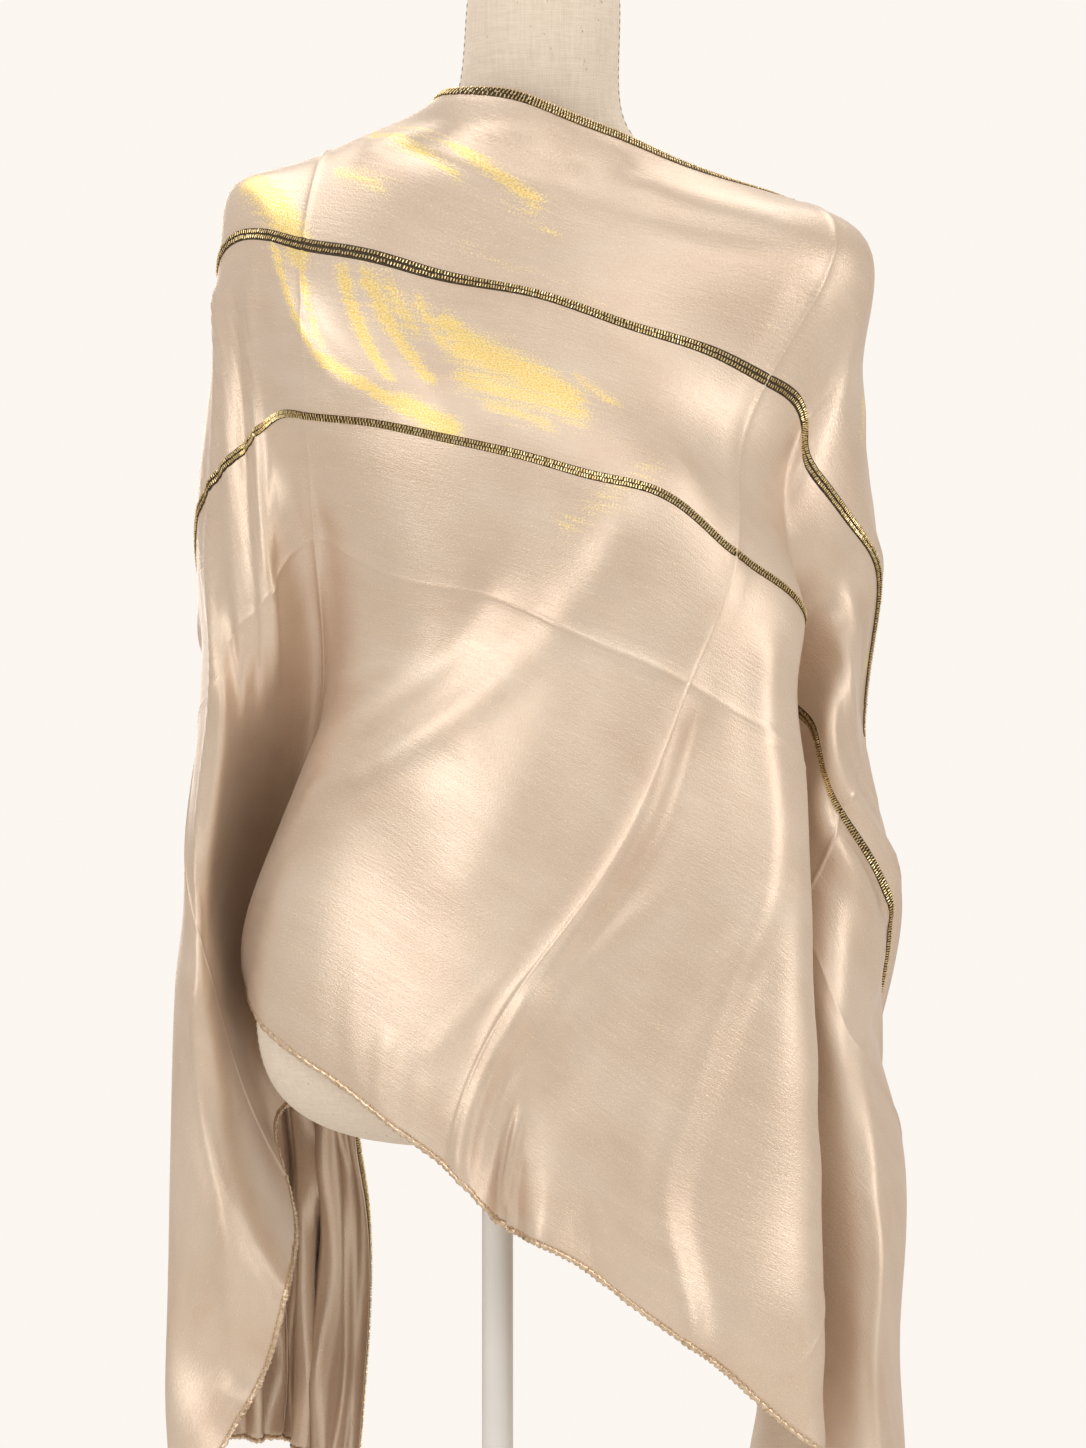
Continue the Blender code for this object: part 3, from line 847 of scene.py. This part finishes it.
gathered = np.linalg.norm(np.gradient(lay, down_lines, axis=1), axis=2)
spare = np.clip(1.0 / np.maximum(gathered, NARROWEST) - 1.0, 0.0, SPARE_MOST)
for _ in range(SMOOTHINGS):
    spare[1:-1, 1:-1] = (
        spare[:-2, 1:-1] + spare[2:, 1:-1] + spare[1:-1, :-2] + spare[1:-1, 2:]
    ) / 4
in_tail = softened((np.abs(along) - CALM_MIDDLE) / CALM_FADE)
near_top = softened((GATHERS_END - down) / GATHERS_FADE)
turns = 2 * math.pi * down / RIPPLE + RIPPLE_DRIFT * smooth_noise(*DRIFT_NOISE)
ripple = np.sin(turns) * (RIPPLE_MEAN + RIPPLE_VARIES * smooth_noise(*WANDER_NOISE))
ripple_high = RIPPLE_MOST * np.sqrt(spare / SPARE_MOST) * in_tail * near_top
print("deepest gather:", round(float(np.abs(ripple * ripple_high).max()) / MM, 1), "mm")

# %% [markdown]
# The smooth surface is held off the form, all folds raise it along its own outward direction, and
# it is held off once more. Fine crinkles are strong only above the hem, where the thread draws in.

# %% Laying the sheet
SWELL_HIGH = 0.0005
SWELL_NOISE = (11.0, 16.0, 4.0)
CRINKLE_HIGH = 0.0006
CRINKLE_NOISE = (105.0, 34.0, 9.0)
CRINKLE_ALL_OVER = 0.12
CRINKLE_AT_HEM = 1.6
HEM_ZONE = 0.030
SHEET_CLEAR = 0.0022
SHEET_SOFT = 0.0016
FIRST_CLEAR = SHEET_CLEAR + 0.001
FIRST_SOFT = SHEET_SOFT * 2


def normals_of(points):
    """The way that the cloth's right side faces at each point of its grid."""
    by_along = np.gradient(points, along_lines, axis=0)
    by_down = np.gradient(points, down_lines, axis=1)
    return unit(np.cross(by_down, by_along))


swell = smooth_noise(*SWELL_NOISE) * SWELL_HIGH
crinkle = smooth_noise(*CRINKLE_NOISE) * CRINKLE_HIGH
at_hem = np.exp(-((STOLE_WIDTH - down) / HEM_ZONE) ** 2)
crinkle *= CRINKLE_ALL_OVER + CRINKLE_AT_HEM * at_hem
raised = (
    fold_heights(along, down)
    + pressed_heights(along, down)
    + ripple * ripple_high
    + swell
    + crinkle
)
base_lay = held_off(lay, FIRST_CLEAR, FIRST_SOFT)
sheet_points = base_lay + normals_of(base_lay) * raised[..., None]
sheet_points = held_off(sheet_points, SHEET_CLEAR, SHEET_SOFT)
sheet_out = normals_of(sheet_points)
corner = sheet_points[:-1, :-1]
cells = np.cross(sheet_points[1:, :-1] - corner, sheet_points[:-1, 1:] - corner)
share_laid = np.linalg.norm(cells, axis=2).sum() / (STOLE_LENGTH * STOLE_WIDTH)
print("laid area over flat area:", round(share_laid, 3))


def on_cloth(along_at, down_at, above=0.0):
    """Points on the laid cloth, and the way that its right side faces, at any places."""
    a = np.interp(along_at, along_lines, np.arange(len(along_lines)))
    d = np.interp(down_at, down_lines, np.arange(len(down_lines)))
    i = np.minimum(a.astype(int), len(along_lines) - 2)
    j = np.minimum(d.astype(int), len(down_lines) - 2)
    u = (a - i)[..., None]
    v = (d - j)[..., None]
    found = []
    for grid in (sheet_points, sheet_out):
        low = grid[i, j] * (1 - v) + grid[i, j + 1] * v
        high = grid[i + 1, j] * (1 - v) + grid[i + 1, j + 1] * v
        found.append(low * (1 - u) + high * u)
    out = unit(found[1])
    return found[0] + out * above, out


# %% [markdown]
# The tissue itself. Its metal threads catch the light two ways: a wide pale satin band along each
# fold, which the lamps make, and strong gold glints where the weft is turned to the lamp. These
# glints are painted highlights: gold strokes on the flat cloth, kept as a value at each point of the
# sheet and broken up by the grain of the threads.

# %% Painted gold glints on the cloth
# Painted highlight strokes, in mm: ALONG and DOWN at the start, then at the end, half width,
# strength.
PAINTED_GLINT_STROKES = (
    (-212, 100, -170, 132, 13, 1.0),
    (-196, 134, -158, 196, 4, 0.9),
    (-168, 138, -152, 190, 4, 0.8),
    (-135, 140, -104, 214, 5, 1.0),
    (-118, 140, -74, 212, 6, 0.9),
    (-150, 204, -96, 244, 7, 1.0),
    (-96, 238, -62, 252, 11, 1.0),
    (-104, 142, -84, 168, 7, 0.7),
    (-84, 148, -64, 176, 5, 0.8),
    (-66, 160, -20, 186, 9, 0.9),
    (-48, 178, 28, 204, 15, 1.0),
    (-46, 206, 34, 216, 14, 0.75),
    (-30, 228, 12, 232, 8, 0.6),
    (36, 186, 62, 198, 6, 0.6),
    (-150, 92, -112, 98, 5, 0.6),
    (-132, 60, -72, 74, 5, 0.8),
    (-110, 52, -60, 58, 4, 0.55),
    (-70, 58, -28, 72, 5, 0.9),
    (-48, 78, -8, 88, 3, 0.5),
    (-60, 112, 40, 122, 3, 0.35),
    (30, 296, 92, 244, 9, 0.35),
    (-150, 26, -86, 12, 6, 0.8),
    (-330, 90, -300, 150, 8, 0.7),
    (-420, 60, -390, 160, 7, 0.6),
    (-560, 120, -520, 210, 9, 0.6),
    (-720, 60, -690, 150, 9, 0.5),
    (-850, 240, -800, 330, 10, 0.5),
    (250, 40, 300, 90, 8, 0.6),
    (420, 60, 470, 140, 9, 0.6),
    (600, 100, 640, 190, 9, 0.5),
    (800, 60, 840, 170, 10, 0.5),
)


def painted_glint_share(along, down):
    """How strongly a gold highlight is painted on the cloth at these places, from 0 to 1."""
    total = np.zeros(along.shape)
    for a0, d0, a1, d1, wide, strong in PAINTED_GLINT_STROKES:
        run = np.array((a1 - a0, d1 - d0)) * MM
        from_a = along - a0 * MM
        from_d = down - d0 * MM
        share = np.clip((from_a * run[0] + from_d * run[1]) / (run @ run), 0, 1)
        gap = np.hypot(from_a - share * run[0], from_d - share * run[1])
        total = np.maximum(total, strong * np.exp(-((gap / (wide * MM)) ** 2)))
    return total


# %% Tissue finish
THREADS_PER_METRE = 900.0
tissue, tree, shader = new_finish("champagne tissue", (0.72, 0.575, 0.445), 0.58, 0.36)
shader.inputs["Anisotropic"].default_value = 0.45
shader.inputs["Sheen Weight"].default_value = 0.12
shader.inputs["Sheen Roughness"].default_value = 0.35
shader.inputs["Sheen Tint"].default_value = (1.0, 0.90, 0.80, 1.0)
tangent = node(tree, "ShaderNodeTangent", direction_type="UV_MAP", uv_map="cloth")
tree.links.new(tangent.outputs["Tangent"], shader.inputs["Tangent"])
weave = surface_places(tree, (THREADS_PER_METRE * 0.8, THREADS_PER_METRE * 1.1, 1.0))
fine = grain(tree, weave, 1.0, 2.0)
scratch = grain(tree, surface_places(tree, (22.0, 330.0, 1.0)), 1.0, 4.0, 0.7)
fur = grain(tree, surface_places(tree, (90.0, 620.0, 1.0)), 1.0, 3.0, 0.6)
shade = grain(tree, surface_places(tree, (9.0, 16.0, 1.0)), 1.0, 3.0)
colours = ((0.30, (0.66, 0.51, 0.39)), (0.50, (0.745, 0.615, 0.50)), (0.72, (0.82, 0.715, 0.61)))
mixed = sums(tree, "ADD", sums(tree, "MULTIPLY", shade, 0.55), sums(tree, "MULTIPLY", fine, 0.45))
body_colour = ramp(tree, mixed, colours)
# The gold attribute is the painted glint. Where it is high, a gold highlight colour is painted into
# the base colour, broken up by the thread grain, and the metal rises a little.
painted_glint_place = node(tree, "ShaderNodeAttribute", attribute_name="gold")
broken_painted_glint = sums(tree, "ADD", painted_glint_place.outputs["Fac"], ranged(tree, fine, 0.3, 0.7, -0.34, 0.34))
broken_painted_glint = sums(tree, "ADD", broken_painted_glint, ranged(tree, scratch, 0.35, 0.65, -0.26, 0.18))
painted_glint_seen = ranged(tree, broken_painted_glint, 0.24, 0.66, 0.0, 1.0)
painted_glint_colour = ramp(
    tree, fine, ((0.36, (0.92, 0.60, 0.13)), (0.50, (0.98, 0.77, 0.30)), (0.64, (1.0, 0.90, 0.60)))
)
body_and_painted_glint_colour = blended(tree, painted_glint_seen, body_colour, painted_glint_colour)
tree.links.new(body_and_painted_glint_colour, shader.inputs["Base Color"])
rough = ranged(tree, scratch, 0.3, 0.7, 0.31, 0.42)
tree.links.new(rough, shader.inputs["Roughness"])
metal = ranged(tree, painted_glint_place.outputs["Fac"], 0.2, 0.8, 0.58, 0.70)
tree.links.new(metal, shader.inputs["Metallic"])
bumped(tree, shader, ((fine, 0.34, 0.0006), (fur, 0.16, 0.0010), (scratch, 0.10, 0.0010)))

# %% [markdown]
# The sheet is one grid over the laid points, so it stays one cut of cloth. Its layers are made
# before the points are listed, because a new layer makes all points anew.

# %% The sheet
SHEET_THICK = 0.0006
bm = bmesh.new()
uv_layer = bm.loops.layers.uv.new("cloth")
# The gold layer holds the painted glint: how strongly each point is painted with a gold highlight.
painted_glint_layer = bm.verts.layers.float.new("gold")
gold = painted_glint_share(along, down)
flat_place = {}
for k, vert in enumerate(ordered_grid(bm, len(along_lines), len(down_lines))):
    i, j = divmod(k, len(down_lines))
    vert.co = sheet_points[i, j]
    vert[painted_glint_layer] = gold[i, j]
    flat_place[vert] = (along_lines[i], down_lines[j])
set_pattern(bm, uv_layer, flat_place)
first = bm.faces[:][0]
first.normal_update()
place = flat_place[first.verts[0]]
_, facing = on_cloth(np.array(place[0]), np.array(place[1]))
if first.normal.dot(Vector(facing)) < 0:
    bmesh.ops.reverse_faces(bm, faces=bm.faces)
stole = new_piece("stole", bm, tissue)
wall = stole.modifiers.new("wall", "SOLIDIFY")
wall.thickness = SHEET_THICK
wall.offset = 0.0
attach(stole, "root")
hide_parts("stole_front", "stole_left_tail", "stole_right_tail")

# %% [markdown]
# The hem is rolled: the raw edge is turned over twice and sewn, and the fine cloth puckers as the
# thread draws in. A long grid is wrapped round the edge's path as a thin roll, and its radius
# swells at each pucker. It runs down one end, along the lower edge and up the other end.

# %% Rolled hem
HEM_RADIUS = 0.0012
HEM_FLAT = 1.5
HEM_AROUND = 8
HEM_STEP = 0.0022
HEM_IN = 0.0012
HEM_FROM = 0.004
PUCKER_PITCH = 0.0062
PUCKER = 0.38
UNEVEN = 0.5
UNEVEN_FAST = 70
HEM_PATTERN_STEP = 0.001

hem_finish, hem_tree, hem_shader = new_finish("rolled hem", (0.70, 0.55, 0.40), 0.75, 0.28)
hem_grain = grain(hem_tree, surface_places(hem_tree, (420.0, 300.0, 1.0)), 1.0, 3.0)
hem_colours = ((0.32, (0.50, 0.36, 0.22)), (0.5, (0.70, 0.55, 0.40)), (0.7, (0.86, 0.72, 0.55)))
coloured(hem_tree, hem_shader, hem_grain, hem_colours)
bumped(hem_tree, hem_shader, ((hem_grain, 0.5, 0.0006),))


def round_the_edge(inset, start, step):
    """Places this far in from the edge: down one end, along the lower edge, up the other end."""
    low = STOLE_WIDTH - inset
    side = STOLE_LENGTH / 2 - inset
    across = np.arange(start, low, step)
    run = np.arange(-side, side, step)
    a = np.concatenate([np.full(len(across), -side), run, np.full(len(across), side)])
    d = np.concatenate([across, np.full(len(run), low), across[::-1]])
    return a, d


centre, out = on_cloth(*round_the_edge(HEM_IN, HEM_FROM, HEM_STEP))
forward = unit(np.gradient(centre, axis=0))
aside = unit(np.cross(forward, out))
travel = np.arange(len(centre)) * HEM_STEP
bm = bmesh.new()
uv_layer = bm.loops.layers.uv.new("cloth")
flat_place = {}
for k, vert in enumerate(ordered_grid(bm, len(centre), HEM_AROUND + 1)):
    i, j = divmod(k, HEM_AROUND + 1)
    turn = 2 * math.pi * j / HEM_AROUND
    twist = math.sin(2 * math.pi * travel[i] / PUCKER_PITCH + turn)
    uneven = noise.noise((travel[i] * UNEVEN_FAST, 3.0, 1.0))
    radius = HEM_RADIUS * (1 + PUCKER * twist + UNEVEN * uneven)
    sideways = math.cos(turn) * aside[i] * HEM_FLAT
    vert.co = centre[i] + radius * (sideways + math.sin(turn) * out[i])
    flat_place[vert] = (travel[i], HEM_PATTERN_STEP * j)
set_pattern(bm, uv_layer, flat_place)
close_up(bm)
hem = new_piece("rolled_hem", bm, hem_finish)
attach(hem, "root")

# %% [markdown]
# The seam that holds the hem down shows as a row of short gold stitches just above the roll. Each
# one is a small ball drawn out long, laid along the cloth and a little uneven, like real sewing.

# %% Stitches of the hem
HEM_STITCH_PITCH = 0.0030
HEM_STITCH = (0.00030, 0.00030, 0.00105)
HEM_STITCH_IN = 0.0036
HEM_STITCH_FROM = 0.014
HEM_STITCH_ABOVE = 0.0005
HEM_STITCH_TILT = 0.14
HEM_STITCH_SEED = 5

sewing, sewing_tree, sewing_shader = new_finish(
    "gold sewing thread", (0.72, 0.52, 0.26), 0.55, 0.35
)
sewing_mix = grain(sewing_tree, object_places(sewing_tree), 700.0, 2.0)
sewing_colours = ((0.35, (0.50, 0.34, 0.15)), (0.65, (0.92, 0.74, 0.46)))
coloured(sewing_tree, sewing_shader, sewing_mix, sewing_colours)

chance = np.random.default_rng(HEM_STITCH_SEED)
places = round_the_edge(HEM_STITCH_IN, HEM_STITCH_FROM, HEM_STITCH_PITCH)
here, out = on_cloth(*places, HEM_STITCH_ABOVE)
ahead = unit(np.gradient(here, axis=0))
aside = unit(np.cross(ahead, out))
bm = bmesh.new()
for k in range(len(here)):
    turn = Matrix((aside[k], np.cross(ahead[k], aside[k]), ahead[k])).transposed().to_4x4()
    tilt = Matrix.Rotation(chance.normal(0, HEM_STITCH_TILT), 4, "Y")
    size = Matrix.Diagonal((*HEM_STITCH, 1.0))
    place = Matrix.Translation(here[k]) @ turn @ tilt @ size
    bmesh.ops.create_icosphere(bm, subdivisions=1, radius=1.0, matrix=place)
hem_stitches = new_piece("hem_stitches", bm, sewing)
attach(hem_stitches, "root")

# %% [markdown]
# Beads. Each band is rows of tiny metal tubes sewn side by side across the band, over a bronze
# thread. One bead is a six sided cone with equal ends, a few faces only, because there are
# thousands. The same small mesh is placed again and again on the laid cloth, never quite even.

# %% Bead and thread finishes
BEAD_PITCH = 0.0020
BEAD_RADIUS = 0.00052
BEAD_LONG = 0.0021
BEAD_SIDES = 6

beads_finish, bead_tree, bead_shader = new_finish(
    "antique gold beads", (0.62, 0.45, 0.18), 0.95, 0.26
)
tarnish = grain(bead_tree, object_places(bead_tree), 520.0, 2.0)
bead_colours = ((0.34, (0.52, 0.38, 0.17)), (0.50, (0.80, 0.62, 0.31)), (0.66, (1.0, 0.88, 0.60)))
coloured(bead_tree, bead_shader, tarnish, bead_colours)
worn = ranged(bead_tree, tarnish, 0.3, 0.7, 0.36, 0.20)
bead_tree.links.new(worn, bead_shader.inputs["Roughness"])

tape_finish, tape_tree, tape_shader = new_finish("bronze thread", (0.05, 0.034, 0.016), 0.2, 0.6)
ply = grain(tape_tree, surface_places(tape_tree, (900.0, 300.0, 1.0)), 1.0, 2.0)
tape_colours = ((0.35, (0.020, 0.013, 0.006)), (0.65, (0.08, 0.055, 0.025)))
coloured(tape_tree, tape_shader, ply, tape_colours)
bumped(tape_tree, tape_shader, ((ply, 0.5, 0.0004),))


def bead_mesh():
    """One bead as a small mesh, to be copied."""
    bm = bmesh.new()
    bmesh.ops.create_cone(
        bm,
        cap_ends=True,
        segments=BEAD_SIDES,
        radius1=BEAD_RADIUS,
        radius2=BEAD_RADIUS,
        depth=BEAD_LONG,
    )
    made = bpy.data.meshes.new("bead")
    bm.to_mesh(made)
    bm.free()
    return made


# %% Thread band under the beads
TAPE_THICK = 0.0004
TAPE_LIFT = 0.0003
TAPE_STEP = 0.004
TAPE_HALF = STOLE_LENGTH / 2 - 0.003
# The tape's outline across: places in widths from its middle, and heights in thicknesses.
TAPE_SECTION = ((-0.5, 0.0), (-0.42, 1.0), (0.42, 1.0), (0.5, 0.0), (-0.5, 0.0))


def tape(bm, middle, width):
    """The thread band under the beads: a low strip wrapped from a grid, closed underneath."""
    uv_layer = bm.loops.layers.uv.new("cloth")
    stations = np.arange(-TAPE_HALF, TAPE_HALF, TAPE_STEP)
    flat_place = {}
    for k, vert in enumerate(ordered_grid(bm, len(stations), len(TAPE_SECTION))):
        i, j = divmod(k, len(TAPE_SECTION))
        side, high = TAPE_SECTION[j]
        spot = middle + side * width
        above = TAPE_LIFT + TAPE_THICK * high
        vert.co, _ = on_cloth(np.array(stations[i]), np.array(spot), above)
        flat_place[vert] = (stations[i], spot)
    set_pattern(bm, uv_layer, flat_place)
    close_up(bm)


# %% Rows of beads
FRAME_REACH = 0.002
ROWS_HALF = STOLE_LENGTH / 2 - 0.004
ROWS_MARGIN = 0.0006
ROW_SHIFT = 0.0006
BEAD_LIFT = 0.0004
BEAD_SEAT = 0.75
# How uneven the sewing is: along the row in pitches, across it in metres, and the lean in radians.
UNEVEN_ALONG = 0.06
UNEVEN_ACROSS = 0.00012
UNEVEN_LEAN = 0.10


def band_frames(along_at, down_at, above):
    """For places on the band: the point, the way along it, the way across it and outwards."""
    here, out = on_cloth(along_at, down_at, above)
    ahead, _ = on_cloth(along_at + FRAME_REACH, down_at, above)
    behind, _ = on_cloth(along_at - FRAME_REACH, down_at, above)
    run = unit(ahead - behind)
    across = unit(np.cross(out, run))
    return here, run, across, np.cross(run, across)


def beaded_band(name, middle, width, rows, cad_node):
    """A tape with its rows of beads, as one piece of two finishes."""
    chance = np.random.default_rng(rows * 100 + round(middle * 1000))
    bm = bmesh.new()
    tape(bm, middle, width)
    tape_faces = len(bm.faces)
    bead = bead_mesh()
    gap = (width - ROWS_MARGIN) / rows
    above = BEAD_LIFT + TAPE_THICK + BEAD_RADIUS * BEAD_SEAT
    for row in range(rows):
        along_at = np.arange(-ROWS_HALF, ROWS_HALF, BEAD_PITCH)
        uneven = chance.normal(0, BEAD_PITCH * UNEVEN_ALONG, len(along_at))
        along_at = along_at + uneven + row * ROW_SHIFT
        offset = middle + (row - (rows - 1) / 2) * gap
        down_at = offset + chance.normal(0, UNEVEN_ACROSS, len(along_at))
        here, run, across, out = band_frames(along_at, down_at, above)
        lean = chance.normal(0, UNEVEN_LEAN, len(along_at))
        for k in range(len(along_at)):
            turn = Matrix((run[k], out[k], across[k])).transposed().to_4x4()
            turn = Matrix.Translation(here[k]) @ turn @ Matrix.Rotation(lean[k], 4, "Y")
            placed = bead.copy()
            placed.transform(turn)
            bm.from_mesh(placed)
            bpy.data.meshes.remove(placed)
    made = new_piece(name, bm, tape_finish, smooth=False)
    made.data.materials.append(beads_finish)
    slots = np.zeros(len(made.data.polygons), int)
    slots[tape_faces:] = 1
    made.data.polygons.foreach_set("material_index", slots)
    bpy.data.meshes.remove(bead)
    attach(made, "root")
    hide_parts(cad_node)
    return made


# %% The three bands
# Each band: name, its middle down the width, its width, rows of beads, the solid it stands for.
BANDS = (
    ("beads_edge", 0.0065, 0.0092, 3, "trim_edge"),
    ("beads_upper", 0.130, 0.0064, 2, "trim_upper"),
    ("beads_lower", 0.260, 0.0064, 2, "trim_lower"),
)
bands = [beaded_band(*row) for row in BANDS]

# %% [markdown]
# The stand. The pole and the foot are right as they are in the solids, so they stay and get a
# satin white paint, with fine orange peel in the gloss and faint clouds in the white.

# %% White paint of the stand
paint, paint_tree, paint_shader = new_finish("white satin paint", (0.80, 0.80, 0.79), 0.0, 0.32)
paint_shader.inputs["Coat Weight"].default_value = 0.25
paint_shader.inputs["Coat Roughness"].default_value = 0.2
cloudy = grain(paint_tree, object_places(paint_tree), 9.0, 3.0)
peel = grain(paint_tree, object_places(paint_tree), 420.0, 2.0)
paint_colours = ((0.3, (0.76, 0.76, 0.745)), (0.7, (0.84, 0.84, 0.83)))
coloured(paint_tree, paint_shader, cloudy, paint_colours)
gloss = ranged(paint_tree, cloudy, 0.3, 0.7, 0.27, 0.38)
paint_tree.links.new(gloss, paint_shader.inputs["Roughness"])
bumped(paint_tree, paint_shader, ((peel, 0.10, 0.0003),))
for name in ("pole", "foot"):
    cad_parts[name].material_slots[0].material = paint
    print(name, "is painted")

# %% [markdown]
# The linen cover is sewn from a front and a back. Its side seams run up both flanks and both sides
# of the neck, with brown stitches that show as dashes. Each stitch is a small ball drawn out long.

# %% Seam stitches on the form
STITCH_PITCH = 0.0052
STITCH_LONG = 0.0017
STITCH_THICK = 0.00042
STITCH_SEAT = 0.6
SEAM_SIDE = 0.30
SEAM_FORWARD = -0.010
SEAM_LOW = 0.83
SEAM_HIGH = 1.566

thread, thread_tree, thread_shader = new_finish("seam thread", (0.40, 0.34, 0.28), 0.0, 0.6)
thread_mix = grain(thread_tree, object_places(thread_tree), 900.0, 2.0)
thread_colours = ((0.3, (0.32, 0.27, 0.22)), (0.7, (0.50, 0.43, 0.36)))
coloured(thread_tree, thread_shader, thread_mix, thread_colours)


def seam_points(side):
    """Points up the flank on this side, found by looking at the form from there."""
    points = []
    for z in np.arange(SEAM_LOW, SEAM_HIGH, STITCH_PITCH):
        from_here = Vector((side * SEAM_SIDE, SEAM_FORWARD, z))
        hit, normal, _, _ = form_surface.ray_cast(from_here, Vector((-side, 0.0, 0.0)))
        if hit:
            points.append((hit, normal))
    return points


bm = bmesh.new()
for side in (-1, 1):
    run = seam_points(side)
    for (here, normal), (above, _) in zip(run, run[1:]):
        up = (above - here).normalized()
        across = normal.cross(up).normalized()
        turn = Matrix((across, normal, up)).transposed().to_4x4()
        size = Matrix.Diagonal((STITCH_THICK, STITCH_THICK, STITCH_LONG, 1.0))
        place = Matrix.Translation(here + normal * STITCH_THICK * STITCH_SEAT)
        bmesh.ops.create_icosphere(bm, subdivisions=1, radius=1.0, matrix=place @ turn @ size)
stitches = new_piece("seam_stitches", bm, thread)
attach(stitches, "root")
